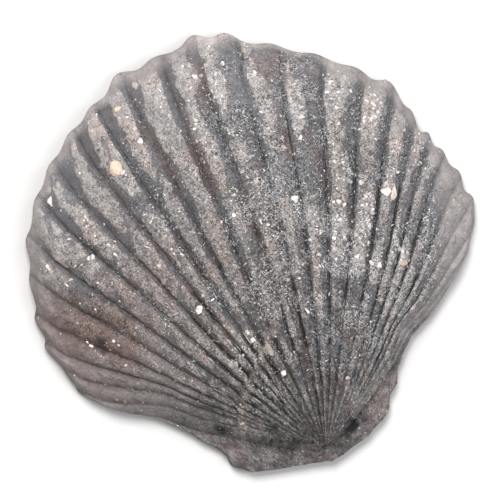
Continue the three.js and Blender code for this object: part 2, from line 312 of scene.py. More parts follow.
def rib_height(margin_bearing, share, skew=RIB_SKEW):
    """Height of a rib over its furrows: as tall as its width allows, times one minus a
    power of the distance from its crest, after a power of the place across skews it. The
    ribs on the far left are worn lower and rounder."""
    rib, width, across, on_rib = rib_place(margin_bearing)
    radius = share * margin_radius(margin_bearing)
    worn = 1 + WORN * np.sin(rib * WORN_TURN + radius / WORN_LENGTH)
    tall = np.minimum(RIB_HEIGHT_TO_WIDTH * np.radians(width) * radius, TALLEST_RIB)
    power = RIB_POWER_UMBO + (RIB_POWER_MARGIN - RIB_POWER_UMBO) * share
    power = power - LEFT_ROUNDER * s_fall(margin_bearing, -48, -34)
    crest_place = 0.5 - skew * outward_side(margin_bearing)
    skewed = across ** (np.log(0.5) / np.log(crest_place))
    shape = 1 - np.abs(2 * skewed - 1) ** power
    lower = 1 - LEFT_LOWER * s_fall(margin_bearing, -46, -34)
    return tall * s_step(radius, RIB_START, RIB_FULL) * worn * shape * on_rib * lower


crown_y = np.linspace(1, 105, 200)
crown = dome_height(0 * crown_y, crown_y)
print("dome is highest", crown_y[crown.argmax()].round(1), "mm from the beak:",
      (PLATE + crown.max()).round(1), "mm up")

# %% [markdown]
# ## The grid of the outer face
# The outer face is a grid of lines from the beak to the margin, crossed by rings. Points
# are closer together in the furrows, where the surface turns most, and further apart on
# the crests. Both the mesh and every mask below are arrays over this one grid.

# %% The grid of the outer face
POINTS_PER_RIB = 16
FURROW_CROWDING = 0.4
LEFT_EAR_LINES, RIGHT_EAR_LINES = 60, 50
RINGS, INNER_RINGS = 178, 40


def even_bearings(first, last, count):
    """Bearings whose margin points are evenly spaced: the outline's length is added up in
    small steps and cut into equal parts."""
    fine = np.linspace(first, last, 4000)
    radius = smooth_outline(fine)
    x, y = radius * np.sin(np.radians(fine)), radius * np.cos(np.radians(fine))
    length = np.concatenate([[0], np.cumsum(np.hypot(np.diff(x), np.diff(y)))])
    return np.interp(np.linspace(0, length[-1], count), length, fine)


def line_bearings():
    """Margin bearings of all the lines, once round: left ear, ribs, right ear, hinge.
    On a rib the places across are t - crowding * sin(2 pi t) / (2 pi)."""
    t = np.arange(POINTS_PER_RIB) / POINTS_PER_RIB
    across = t - FURROW_CROWDING * np.sin(2 * np.pi * t) / (2 * np.pi)
    ribs = (FURROWS[:-1, None] + np.diff(FURROWS)[:, None] * across).ravel()
    left_ear = even_bearings(-90, FURROWS[0], LEFT_EAR_LINES + 1)[:-1]
    right_ear = even_bearings(FURROWS[-1], 100, RIGHT_EAR_LINES + 1)[1:]
    return np.concatenate([left_ear, ribs, FURROWS[-1:], right_ear, [120, 140, 180]])


lines = line_bearings()
assert len(lines) % 2 == 0
even = np.linspace(0, 1, RINGS + 1)[1:]
rings = 0.72 * even + 0.28 * even ** 2
line_grid, share_grid = np.meshgrid(lines, rings)
x_grid, y_grid = plan_point(line_grid, share_grid)
rib_grid, width_grid, across_grid, on_rib_grid = rib_place(line_grid)
margin_grid = margin_radius(line_grid)
radius_grid = share_grid * margin_grid
to_margin = margin_grid - radius_grid
rib_mm = np.radians(width_grid) * radius_grid
lateral = np.radians(line_grid) * radius_grid
print("grid of", line_grid.shape[0], "rings and", line_grid.shape[1], "lines")

# %% [markdown]
# ## Where things lie
# The finish follows the relief. A sandy crust clings to the tops of the ribs in ragged
# islands, the furrows stay bare and dark with a crease at their foot, and the last few
# millimetres at the margin and the flanks are rubbed smooth, less so where the edge is
# still crusty. Each of these is a mask: a number from 0 to 1 at every point. Most are
# s-steps, whose two numbers say where the mask begins and where it is whole, in mm, in
# degrees or in shares of a rib. The islands come from hills three times as long as wide,
# laid along the ribs and cut off sharply at one level, which gives them crisp edges.

# %% Patches along the ribs
# each patch: its place and its half width
PALE_PATCHES = [
    ((-6.3, 84.7), 3), ((-1.9, 100.9), 2.6), ((23.7, 66.3), 4), ((18.4, 51.7), 3.6),
    ((26.4, 54.4), 3.6), ((34.9, 59.5), 2.6), ((36.4, 78.7), 3.6), ((24.8, 43), 2.8),
    ((32.8, 41.8), 3), ((34, 87.4), 2.6), ((26.9, 85.7), 3), ((-14.6, 30.9), 2.2),
    ((-22.8, 66.4), 3), ((-37.8, 68.7), 3), ((17, 83.7), 3), ((45.2, 69.3), 3),
]
BARE_PATCHES = [
    ((41.1, 49.6), 5), ((18, 38.2), 7), ((4.7, 86.4), 4), ((18.7, 71.3), 3.4), ((-17, 80.3), 4),
    ((-44.8, 58.6), 3), ((-21.8, 27.4), 3.6), ((31.5, 51.4), 2.4), ((23.2, 94.8), 3.4),
    ((-25.6, 73.9), 3.6), ((9.1, 75.7), 3.6), ((-4.5, 40.2), 3), ((0.9, 23.7), 2), ((12.6, 32), 4),
]
PATCH_LENGTH = 1.7


def grid_hills(cell, seed, rounds=1):
    """Random hills at every point of the grid."""
    return hills(x_grid, y_grid, cell, seed, rounds)


def grid_spot(at, size, turn=0.0):
    """A soft spot at every point of the grid."""
    return spot(x_grid, y_grid, at, size, turn)


def rib_patches(patches):
    """Soft spots that lie along the ribs, the strongest one counting at each point."""
    spots = [grid_spot(at, (size * PATCH_LENGTH, size), np.degrees(np.arctan2(at[1], at[0])))
             for at, size in patches]
    return np.max(spots, axis=0)


pale, bare = rib_patches(PALE_PATCHES), rib_patches(BARE_PATCHES)
print("patches:", len(PALE_PATCHES), "pale and", len(BARE_PATCHES), "bare")

# %% Furrows and their creases
LEAST_OUTER_REACH, LEAST_INNER_REACH = 0.08, 0.05
BEAK_SLOPE, BEAK_LINE, BEAK_LENGTH = 0.36, 5, 1.06

side_grid = outward_side(line_grid)
outer_gap = np.where(side_grid > 0, 1 - across_grid, across_grid)
inner_gap = 1 - outer_gap
far_left = s_fall(line_grid, -44, -33)
near_umbo = s_fall(radius_grid, 18, 45)
ragged = grid_hills(5, 11, 4)
wide_band = hills(line_grid / 5, radius_grid / 16, 1, 19, 2)
outer_reach = 0.38 + 0.08 * side_grid + 0.2 * ragged + 0.24 * wide_band
# On the far left the dark band reaches less far onto each rib's outer side and further onto its inner side,
# as painted shade.
outer_reach = outer_reach * (1 + 0.25 * near_umbo) * (1 - 0.6 * far_left)
outer_reach = np.maximum(outer_reach, LEAST_OUTER_REACH)
inner_reach = (0.15 + 0.12 * ragged - 0.08 * wide_band) * (1 + 0.2 * near_umbo)
inner_reach = np.maximum(inner_reach + 0.16 * far_left, LEAST_INNER_REACH)
band = np.maximum(s_fall(outer_gap, outer_reach * 0.5, outer_reach * 1.2),
                  s_fall(inner_gap, inner_reach * 0.5, inner_reach * 1.2)) * on_rib_grid

bearing_grid = np.degrees(np.arctan2(x_grid, y_grid))
aside_grid = np.abs(bearing_grid - MIDDLE_BEARING) / half_fan(radius_grid, bearing_grid)
on_dome = s_fall(aside_grid, 0.86, 1)
beak_edge = (y_grid + BEAK_SLOPE * x_grid - BEAK_LINE) / BEAK_LENGTH + 0.6 * grid_hills(2, 14, 2)
off_beak = s_step(beak_edge, 0.9, 2.2) * np.maximum(on_dome, s_step(radius_grid, 24, 34))

wander = (0.02 + 0.13 * near_umbo) * grid_hills(1.7, 10, 2)
# The crease is sunk in the relief. In the tint it is darkened as painted shade, in a wider soft band on the
# far left.
crease_gap = np.minimum(np.abs(outer_gap + wander), np.abs(inner_gap - wander)) * rib_mm
crease_width = 0.3 + 0.75 * far_left * s_step(radius_grid, 30, 60)
crease = np.exp(-(crease_gap / crease_width) ** 2) * on_rib_grid * off_beak
broken = s_step(grid_hills(7, 15, 3), -0.45, 0.2)
gritted_up = 0.4 + 0.6 * s_step(grid_hills(1.6, 9, 3), -0.35, 0.2)
print("furrows, before wear, cover", (band.mean() * 100).round(), "% of the grid")

# %% Rubbed shell
CRUMBLY_AT, CRUMBLY_SIZE = (-44, 56), (12, 18)

wide_left = s_fall(line_grid, -50, -22)
wide_right = s_step(line_grid, 34, 52)
crusty_edge = s_step(line_grid, 0, 4) * s_fall(line_grid, 15, 19)
rubbed_width = 2.6 + 5 * wide_left + 24 * wide_right + 2.4 * grid_hills(13, 12, 2)
rubbed_width = np.maximum(rubbed_width, 1) * (1 - 0.65 * crusty_edge)
rubbed = s_fall(to_margin, rubbed_width * 0.4, rubbed_width * 1.4)
left_flank = s_fall(line_grid, -54, -40)
right_flank = s_step(line_grid, 46, 52)
ears = np.maximum(s_fall(line_grid, -62, -57.5), s_step(line_grid, 52.3, 54.5))
smooth_shell = np.maximum.reduce([
    rubbed,
    0.75 * left_flank * s_step(radius_grid, 25, 45),
    0.8 * right_flank * s_step(radius_grid, 25, 40),
    0.75 * ears,
])
crumbly = grid_spot(CRUMBLY_AT, CRUMBLY_SIZE)
smooth_shell = smooth_shell * (1 - 0.75 * crumbly)
furrow = band * off_beak * (1 - 0.5 * rubbed) * (1 - 0.4 * left_flank)
crease = crease * np.maximum.reduce([0.4 + 0.6 * broken, gritted_up * near_umbo, 0.85 * far_left])
crease = crease * (1 - (0.8 - 0.5 * far_left) * rubbed) * (1 - 0.3 * left_flank)
crease = crease * (0.2 + 0.8 * s_step(radius_grid, 7, 24))
print("rubbed shell covers", (smooth_shell.mean() * 100).round(), "% of the grid and furrows",
      (furrow.mean() * 100).round(), "%")

# %% Sandy crust
CENTRE_AT, CENTRE_SIZE = (7, 68), (26, 40)

streaks = hills(lateral, radius_grid / 3, 2.6, 13, 4)
ragged_edge = grid_hills(1.2, 16, 3)
centre = grid_spot(CENTRE_AT, CENTRE_SIZE)
level = 0.38 - 0.03 * centre - 1.1 * furrow + 1.05 * streaks + 0.45 * ragged_edge
level = level + 0.7 * pale - 0.7 * bare
# Thinner crust on each rib's inner side leaves that side darker: painted shade.
level = level - 0.3 * s_fall(inner_gap, 0, 0.5) * on_rib_grid
level = np.maximum(level, 1.5 * (grid_hills(1.9, 17, 3) - 0.42) - 0.2 * furrow)
crust_cover = (1 - 0.7 * smooth_shell) * s_step(beak_edge, 0, 2)
crust = s_step(level, -0.04, 0.1) * crust_cover
pinkish = s_step(hills(lateral, radius_grid / 2, 3.4, 18, 3), 0.0, 0.35)
print("sand covers", (crust.mean() * 100).round(), "% of the grid")

# %% [markdown]
# ## Marks of its life and burial
# Some marks are in one place only: the healed break across the left of the umbo, a rusty
# stain low on the left, dark pits worn through the ears, whose near-black is partly painted
# shade, and a grainy band along the hinge. The break is a bell curve about a path across
# the ribs, the thin dark line at a furrow's foot, a painted shade, is kept as a distance in
# mm, and the others are soft spots.

# %% The healed break
VEIN_HALF_WIDTH = 0.95

break_mm = break_radius(line_grid)
slant = np.gradient(break_radius(lines), np.radians(lines)) / break_radius(lines)
break_gap = (radius_grid - break_mm) / np.sqrt(1 + slant ** 2) + 0.5 * grid_hills(2, 21, 2)
along_break = s_step(line_grid, -58, -54) * s_fall(line_grid, -1, 1)
vein = np.exp(-(break_gap / VEIN_HALF_WIDTH) ** 4) * along_break
vein = vein * s_step(grid_hills(1.6, 20, 2), -0.6, 0)
furrow, crease = furrow * (1 - 0.9 * vein), crease * (1 - 0.9 * vein)
umbo_block = along_break * s_fall(break_gap, -1.5, 0.5) * s_step(radius_grid, 5, 9)
print("the break crosses", (along_break[0] > 0.5).sum(), "lines of the grid")

# %% Distance to the thin line at a furrow's foot
NO_LINE_MM = 2

left_and_high = s_fall(line_grid, -12, 15) * s_step(share_grid, 0.35, 0.65)
right_lines = s_step(line_grid, 2, 10) * s_step(share_grid, 0.25, 0.4) * s_fall(share_grid, 0.8, 0.92)
unbroken = np.maximum(s_step(broken, 0.1, 0.6), right_lines)
line_share = on_rib_grid * off_beak * (1 - rubbed) * (1 - 0.8 * far_left) * unbroken
line_share = line_share * (1 - 0.12 * left_and_high) * s_step(radius_grid, 8, 32) * (1 - vein)
line_share = line_share * (0.3 + 0.7 * s_step(to_margin, 5, 20))
# The shader darkens this thin line as painted shade.
crease_line = np.minimum(outer_gap, inner_gap) * rib_mm + NO_LINE_MM * (1 - line_share)
print("points beside a thin line:", (crease_line < 0.3).sum())

# %% Spots and pits
# each spot: its place, its two half sizes and its turn
SPOTS = {
    "stain": ((-45, 48), (19, 9), -38),
    "rosy": ((-47, 46), (27, 21), 0),
    "glitter": ((17, 50), (31, 40), 0),
    "smooth_grey": ((-35, 42), (6, 3.5), 140),
    "slate": ((-45.8, 57.8), (4, 2.6), 145),
    "dark_fill": ((-5.7, 25.9), (1, 2.6), 15),
    "red_smear": ((-20.6, 8.2), (1.1, 5), -8),
    "hinge": ((-6, 6.5), (13, 7), 0),
}
DARK_SPOTS = [((-45.2, 45.6), (1.9, 1.5)), ((-44.9, 43.4), (1.1, 1.5))]
# each pit: its place, its half sizes, its turn and its depth in mm
EAR_PITS = [((7.5, 6), (2.7, 1.5), 48, 1.3), ((-11.1, 11.9), (2.6, 1.5), 140, 0.7),
            ((-23, 15.5), (1.9, 1.3), 140, 0.9)]

spots = {name: grid_spot(*place) for name, place in SPOTS.items()}
rosy, glitter, smooth_grey = spots["rosy"], spots["glitter"], spots["smooth_grey"]
stain = s_step(spots["stain"] * (1 + 0.6 * grid_hills(4, 22, 4)), 0.4, 0.85)
dark_stain = spots["stain"] * s_step(grid_hills(2.5, 25, 4), 0.05, 0.4)
slate = spots["slate"] * (1 + 0.5 * grid_hills(2, 29, 2))
dark_spot = np.max([grid_spot(at, size) for at, size in DARK_SPOTS], axis=0)
dark_spot = s_step(dark_spot * (1 + 0.9 * grid_hills(0.9, 27, 3)), 0.2, 0.6)
crumbs = crumbly * grid_hills(1.5, 28, 3)
glittering = s_step(grid_hills(5, 67, 3), -0.15, 0.4)
pit_depth = sum(depth * grid_spot(at, size, turn) for at, size, turn, depth in EAR_PITS)
pit_dark = 0.95 * s_step(pit_depth * (1 + 0.9 * grid_hills(0.9, 26, 3)), 0.1, 0.8)
hinge_grain = np.exp(-((beak_edge + 0.3) / 1.4) ** 2) * spots["hinge"]
rusty = s_step(hills(lateral, radius_grid / 3, 4, 24, 3), -0.15, 0.3)
rusty = rusty * s_step(60 - np.abs(x_grid + 3), 20, 45)
print("pits reach", pit_depth.max().round(2), "mm deep")

# %% [markdown]
# ## Worn relief
# Fine relief is laid on along the surface's own normal: growth lines that run across
# the ribs, threads that run along them, a sandy skin on the tops, a crease at the foot of
# each furrow, and slow hollows from wear. Growth lines and threads are hills stretched
# along the ring or along the line, so they follow the shell's growth.

# %% Worn relief
# heights in mm
GROWTH_MM, THREADS_MM, HOLLOWS_MM, CREASE_MM = 0.05, 0.06, 0.14, 0.34
CRUST_MM, CRUST_GRIT_MM, CHIPPED_MM = 0.2, 0.26, 0.14
VEIN_MM, VEIN_GRIT_MM, HINGE_GRAIN_MM, CRUMBS_MM = 0.2, 0.5, 0.6, 0.45
UMBO_GRIT_MM, BEAK_GRIT_MM, UMBO_THREADS_MM = 0.12, 0.16, 0.14
EAR_SWELLS_MM, EAR_GRIT_MM = 0.3, 0.12

arc_grid = np.radians(line_grid) * 100
growth = hills(to_margin * 2.2, arc_grid * 0.05, 1.6, 31, 2)
threads = hills(across_grid * rib_mm * 3, radius_grid * 0.12, 1.5, 32, 2)
umbo_threads = hills(lateral / 0.42, radius_grid / 5, 1, 58, 2) * near_umbo * (1 - ears)
umbo_threads = umbo_threads * s_step(radius_grid, 6, 16)
hollows = grid_hills(6, 33, 3)
grit, fine_grit = grid_hills(1.1, 34, 2), grid_hills(0.7, 37, 2)
chipped = s_step(grid_hills(2.4, 35, 2), 0.35, 0.6)

relief = GROWTH_MM * growth * (0.4 + 0.6 * furrow) + THREADS_MM * threads * s_step(radius_grid, 12, 30)
relief = relief + HOLLOWS_MM * hollows + crust * (CRUST_MM + CRUST_GRIT_MM * grit)
relief = relief - CHIPPED_MM * chipped * crust - CREASE_MM * crease * s_step(rib_mm, 0.3, 2.4)
relief = relief + (VEIN_MM + VEIN_GRIT_MM * grit) * vein
relief = relief + HINGE_GRAIN_MM * hinge_grain * fine_grit + CRUMBS_MM * crumbs
relief = relief + UMBO_GRIT_MM * fine_grit * s_fall(radius_grid, 20, 45) * (1 - ears)
relief = relief + BEAK_GRIT_MM * fine_grit * s_fall(radius_grid, 9, 20) * (1 - ears)
relief = relief + ears * (EAR_SWELLS_MM * grid_hills(2.2, 36, 3) + EAR_GRIT_MM * grid_hills(0.8, 38, 2))
relief = relief + UMBO_THREADS_MM * umbo_threads
relief = relief * s_fall(share_grid, 0.985, 1)
print("relief, mm:", relief.min().round(2), "to", relief.max().round(2))

# %% [markdown]
# ## Outer face
# The outer face is the plate's thickness, plus the dome, plus the ribs, less the rounding
# of the rim. Its normals come from the cross product of the grid's two directions, and the
# relief moves each point along its own normal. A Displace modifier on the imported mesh
# could do the same, but that mesh has too few points for relief this fine.

# %% Outer face
SWELL_MM = 0.22


def unevenness(x, y):
    """Slow swells: the product of two slanting sine waves."""
    return SWELL_MM * np.sin(x / 9 + y / 17 + 1) * np.sin(y / 11 - x / 23)


def normals_of(points):
    """Unit normals of a grid of points, once round: ring direction crossed with line
    direction, turned to point up."""
    along = np.roll(points, -1, axis=1) - np.roll(points, 1, axis=1)
    out = np.gradient(points, axis=0)
    normal = np.cross(along, out)
    normal = normal * np.where(normal[..., 2:] < 0, -1, 1)
    return normal / np.maximum(np.linalg.norm(normal, axis=2, keepdims=True), 1e-9)


RIM_CALM = (0.9, 1)

rim_round = RIM_DROP * s_step(share_grid, RIM_ROUND, 1) ** 2
swell = unevenness(x_grid, y_grid) * s_step(np.hypot(x_grid, y_grid), 10, 30)
swell = swell * s_fall(share_grid, *RIM_CALM)
ribs = rib_height(line_grid, share_grid) * s_step(beak_edge, 0.6, 2.2)
ribs = ribs * (0.35 + 0.65 * s_step(radius_grid, 6, 22))
ribs = ribs * (1 - 0.45 * rubbed * wide_right)
ribs = ribs + 0.6 * vein * (np.minimum(0.2 * rib_mm, 1) - ribs)
outer_z = PLATE + dome_height(x_grid, y_grid) + ribs - rim_round + swell
smooth_points = np.stack([x_grid, y_grid, outer_z], axis=2)
outer_normals = normals_of(smooth_points)
outer_points = smooth_points + outer_normals * relief[..., None]
outer_points[..., 2] -= pit_depth * s_fall(share_grid, *RIM_CALM)
print("outer face is", outer_points[..., 2].max().round(2), "mm high")

# %% [markdown]
# ## Underside
# The hollow is the dome again, one wall lower, with the wall measured square to the
# slope. A Solidify modifier would give the same wall, but not the solid, flat hinge plate
# behind the hollow, with the shallow pit that held the hinge's cushion, nor the round scar
# where the muscle was fixed. Only every second line of the outer grid is needed here.

# %% Underside
MUSCLE_AT, MUSCLE_SIZE, SCAR_HEIGHT = (9, 50), (13, 15), 0.35
HINGE_PIT_AT, HINGE_PIT_WIDTH, HINGE_PIT_DEPTH = (0, 4.2), (2.6, 2.4), 0.9
INNER_RIBS, INNER_ROUGH = 0.7, 0.12
SLOPE_STEP, STEEPEST = 0.5, 3

inner_rings = np.linspace(0, 1, INNER_RINGS + 1)[1:]
inner_line, inner_share = np.meshgrid(lines[::2], inner_rings)
inner_x, inner_y = plan_point(inner_line, inner_share)
inner_dome = dome_height(inner_x, inner_y)
rise_x, rise_y = (dome_height(inner_x + dx, inner_y + dy) - dome_height(inner_x - dx, inner_y - dy)
                  for dx, dy in ((SLOPE_STEP, 0), (0, SLOPE_STEP)))
slope_x, slope_y = rise_x / (2 * SLOPE_STEP), rise_y / (2 * SLOPE_STEP)
upright = WALL * np.sqrt(1 + np.minimum(slope_x ** 2 + slope_y ** 2, STEEPEST ** 2))
opening = s_step(inner_y, HINGE_PLATE_DEPTH, HINGE_PLATE_DEPTH + HINGE_PLATE_RAMP)
hollow = np.maximum(PLATE + inner_dome - upright, 0) * opening
inner_ribs = INNER_RIBS * rib_height(inner_line, inner_share, 0) * s_step(inner_share, 0.6, 1)
scar = SCAR_HEIGHT * s_step(spot(inner_x, inner_y, MUSCLE_AT, MUSCLE_SIZE), 0.3, 0.42)
hinge_pit = HINGE_PIT_DEPTH * spot(inner_x, inner_y, HINGE_PIT_AT, HINGE_PIT_WIDTH)
inner_rough = INNER_ROUGH * hills(inner_x, inner_y, 5, 41, 3) * s_step(hollow, 0.5, 3)
inner_z = hollow * s_fall(inner_share, 0.955, 1) + inner_ribs + hinge_pit
inner_z = np.maximum(inner_z + scar * s_step(hollow, 2, 5) + inner_rough, 0)
inner_points = np.stack([inner_x, inner_y, inner_z], axis=2)
print("hollow is", hollow.max().round(1), "mm deep")

# %% [markdown]
# ## Stitching the valve
# The two faces close at a point under the beak and meet at the rim. The outer grid has
# twice as many lines as the inner one, so at the rim each inner step faces two outer
# ones, and three triangles fill the gap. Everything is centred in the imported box.

# %% Stitching the valve
margin_x, margin_y = outer_points[-1, :, 0], outer_points[-1, :, 1]
plan_middle = np.array([margin_x.min() + margin_x.max(), margin_y.min() + margin_y.max()]) / 2
box_middle = (valve_low + valve_high)[:2] / 2 / MM
SHIFT = np.array([*(box_middle - plan_middle), 0])
print("shift from the beak to the frame, mm:", SHIFT.round(3))


def grid_quads(first, rows, columns, reverse=False):
    """Quads between neighbouring rings of a grid that closes on itself."""
    row, column = np.meshgrid(np.arange(rows - 1), np.arange(columns), indexing="ij")
    here, beside = row * columns + column, row * columns + (column + 1) % columns
    quads = np.stack([here, beside, beside + columns, here + columns], axis=2).reshape(-1, 4)
    return first + (quads[:, ::-1] if reverse else quads)


def fan(middle, first, columns, reverse=False):
    """Triangles from one middle point to a ring."""
    here = np.arange(columns)
    beside = (here + 1) % columns
    triangles = np.stack([np.full(columns, middle), first + here, first + beside], axis=1)
    return triangles[:, ::-1] if reverse else triangles


def rim_triangles(outer_first, inner_first, columns):
    """Three triangles for each inner step, against two outer steps."""
    inner = np.arange(columns // 2)
    o0, o1, o2 = (outer_first + (2 * inner + k) % columns for k in range(3))
    n0, n1 = inner_first + inner, inner_first + (inner + 1) % (columns // 2)
    sides = [(o0, o1, n0), (o1, n1, n0), (o1, o2, n1)]
    return np.concatenate([np.stack(side, axis=1) for side in sides])


def new_piece(name, points_mm, faces, smooth=True):
    """A mesh object from points in mm about the beak and a list of face arrays, riding
    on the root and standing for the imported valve."""
    mesh = bpy.data.meshes.new(name)
    mesh.from_pydata(((points_mm + SHIFT) * MM).tolist(), [], [f for a in faces for f in a.tolist()])
    mesh.polygons.foreach_set("use_smooth", np.full(len(mesh.polygons), smooth))
    mesh.update()
    piece = bpy.data.objects.new(name, mesh)
    bpy.context.collection.objects.link(piece)
    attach(piece, "root")
    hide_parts("scallop_valve")
    triangles = sum(len(a) * (a.shape[1] - 2) for a in faces)
    print(name, "has", triangles, "triangles")
    return piece


columns, inner_columns = len(lines), len(lines) // 2
outer_middle = np.array([[0, BEAK_INSET, outer_points[0, :, 2].mean()]])
inner_middle = np.array([[0, BEAK_INSET, inner_points[0, :, 2].mean()]])
valve_points = np.concatenate([outer_points.reshape(-1, 3), inner_points.reshape(-1, 3),
                               outer_middle, inner_middle])
inner_start = RINGS * columns
middle_start = inner_start + INNER_RINGS * inner_columns
valve = new_piece("valve", valve_points, [
    grid_quads(0, RINGS, columns),
    grid_quads(inner_start, INNER_RINGS, inner_columns, reverse=True),
    fan(middle_start, 0, columns, reverse=True),
    fan(middle_start + 1, inner_start, inner_columns),
    rim_triangles(inner_start - columns, middle_start - inner_columns, columns),
])

# %% [markdown]
# ## Tints of the stone
# The colour is mixed at every point from the same masks: sandy grey on the ribs, bluish
# dark grey in the furrows, warm smooth grey at the margin, then rust, vein and pits. The
# crease at a furrow's foot is darkened further as painted shade, the pits partly so, and the
# rib crests near the umbo are lightened as a painted highlight. A few broad zones are lighter
# or darker, partly as a valve weathers unevenly and partly as painted light and shade. An
# image could hold all this, but storing it in the mesh ties it to the relief exactly, and
# the shader adds finer speckle. Two tints are kept: one as if all were bare, one as if all
# were crusted.

# %% Colours
SANDY = (0.290, 0.271, 0.262)
PALE_SAND = (0.325, 0.306, 0.296)
PINK_SAND = (0.325, 0.270, 0.248)
MID_GREY = (0.147, 0.143, 0.147)
BARE = (0.110, 0.108, 0.113)
OLIVE = (0.150, 0.144, 0.130)
CREASE_SHADE = (0.036, 0.033, 0.034)
RUBBED = (0.270, 0.246, 0.240)
ROSY = (0.225, 0.178, 0.168)
RUST = (0.155, 0.107, 0.091)
DARK_RUST = (0.070, 0.050, 0.043)
OCHRE = (0.190, 0.148, 0.118)
WINE = (0.115, 0.083, 0.079)
VEIN = (0.230, 0.192, 0.172)
PIT_DARK_AND_SHADE = (0.020, 0.021, 0.026)
EAR = (0.150, 0.136, 0.133)
EAR_RED = (0.125, 0.096, 0.090)
HINGE_GRAIN = (0.072, 0.062, 0.055)
BROWN_GREY = (0.120, 0.103, 0.100)
SLATE = (0.108, 0.096, 0.102)
FURROW_BROWN_SHADE = (0.098, 0.072, 0.067)
FILL = (0.055, 0.049, 0.048)
DARK_SPOT = (0.045, 0.032, 0.029)
UNDERSIDE = (0.215, 0.200, 0.190)
PALE_TIP, PALE_TIP_AT, PALE_TIP_SIZE = (0.44, 0.39, 0.38), (4.5, 108.5), (6, 1.8)
# each zone: its place, its two half sizes and its change of tone. The zones are partly
# uneven weathering and partly painted light and shade: painted shade by the hinge and the
# umbo, and a painted lighter flank beside the right ear.
SLOW_TONES_LIGHT_AND_SHADE = [
    ((-14, 66), (22, 28), -0.19), ((-25, 104), (26, 9), 0.16), ((20, 98), (24, 11), 0.27),
    ((5, 30), (26, 14), 0.06), ((-46, 80), (8, 10), 0.28), ((-34, 41), (6, 5), 0.18),
    ((-12, 24), (12, 7), -0.12), ((-7, 10), (7, 7), -0.18), ((27, 66), (9, 14), -0.28),
    ((1.3, 67.8), (7, 8), 0.18), ((21, 48), (13, 8), 0.14), ((17, 76), (7, 7), 0.24),
    ((27, 27), (4, 5), 0.35), ((12.9, 4.8), (4, 4), -0.4), ((5, 2.4), (3, 1.8), -0.35),
    ((-2.3, 4.2), (3, 1.3), 0.35), ((11.2, 12.3), (5, 3), 0.6), ((17, 12), (4, 6), 0.4),
    ((-19, 12.5), (3.4, 3), 0.35), ((-22, 22), (7, 3.5), -0.25),
]
print("broad zones:", len(SLOW_TONES_LIGHT_AND_SHADE))

# %% Tints of the stone
def mix(base, colour, share):
    """Base tint moved towards a colour by a share at every point."""
    return base + (np.array(colour) - base) * np.clip(share, 0, 1)[..., None]


mottle = grid_hills(1.3, 51, 3)
# Darker towards the lower-left flank, the middle near the umbo and the hinge edge: partly painted shade,
# partly the stone's own tone.
low_flank = left_flank * s_fall(radius_grid, 35, 75) * s_step(radius_grid, 20, 30)
hinge_gap = y_grid + 0.157 * x_grid + 0.35
hinge_edge = s_fall(hinge_gap + grid_hills(3, 50, 2), 2.2, 4.6) * s_fall(x_grid, 2, 6)
hinge_edge = hinge_edge * (0.7 + 0.6 * hills(x_grid * 3, y_grid * 0.5, 1.2, 49, 2))
low_middle = np.exp(-(line_grid / 30) ** 2) * s_fall(radius_grid, 30, 90)
rib_tone = 0.14 * np.sin(2.3 * rib_grid + 1) * s_fall(radius_grid, 25, 60) * (1 - ears)
# Rib crests near the umbo are lightened a little: a painted highlight.
crest = (1 - np.abs(2 * across_grid - 1) ** 2) * on_rib_grid * s_fall(radius_grid, 22, 45) * off_beak
umbo_grit = grid_hills(0.8, 57, 3) * s_fall(radius_grid, 25, 50)
# The broad tone joins the stone's own tones with painted light and shade.
broad_tone_light_and_shade = 1 + sum(change * grid_spot(at, size) for at, size, change in SLOW_TONES_LIGHT_AND_SHADE)
broad_tone_light_and_shade = broad_tone_light_and_shade - 0.22 * low_flank - 0.34 * low_middle - 0.5 * hinge_edge + rib_tone
broad_tone_light_and_shade = broad_tone_light_and_shade + 0.5 * umbo_grit + 0.5 * umbo_threads + 0.1 * crest
TONE = None


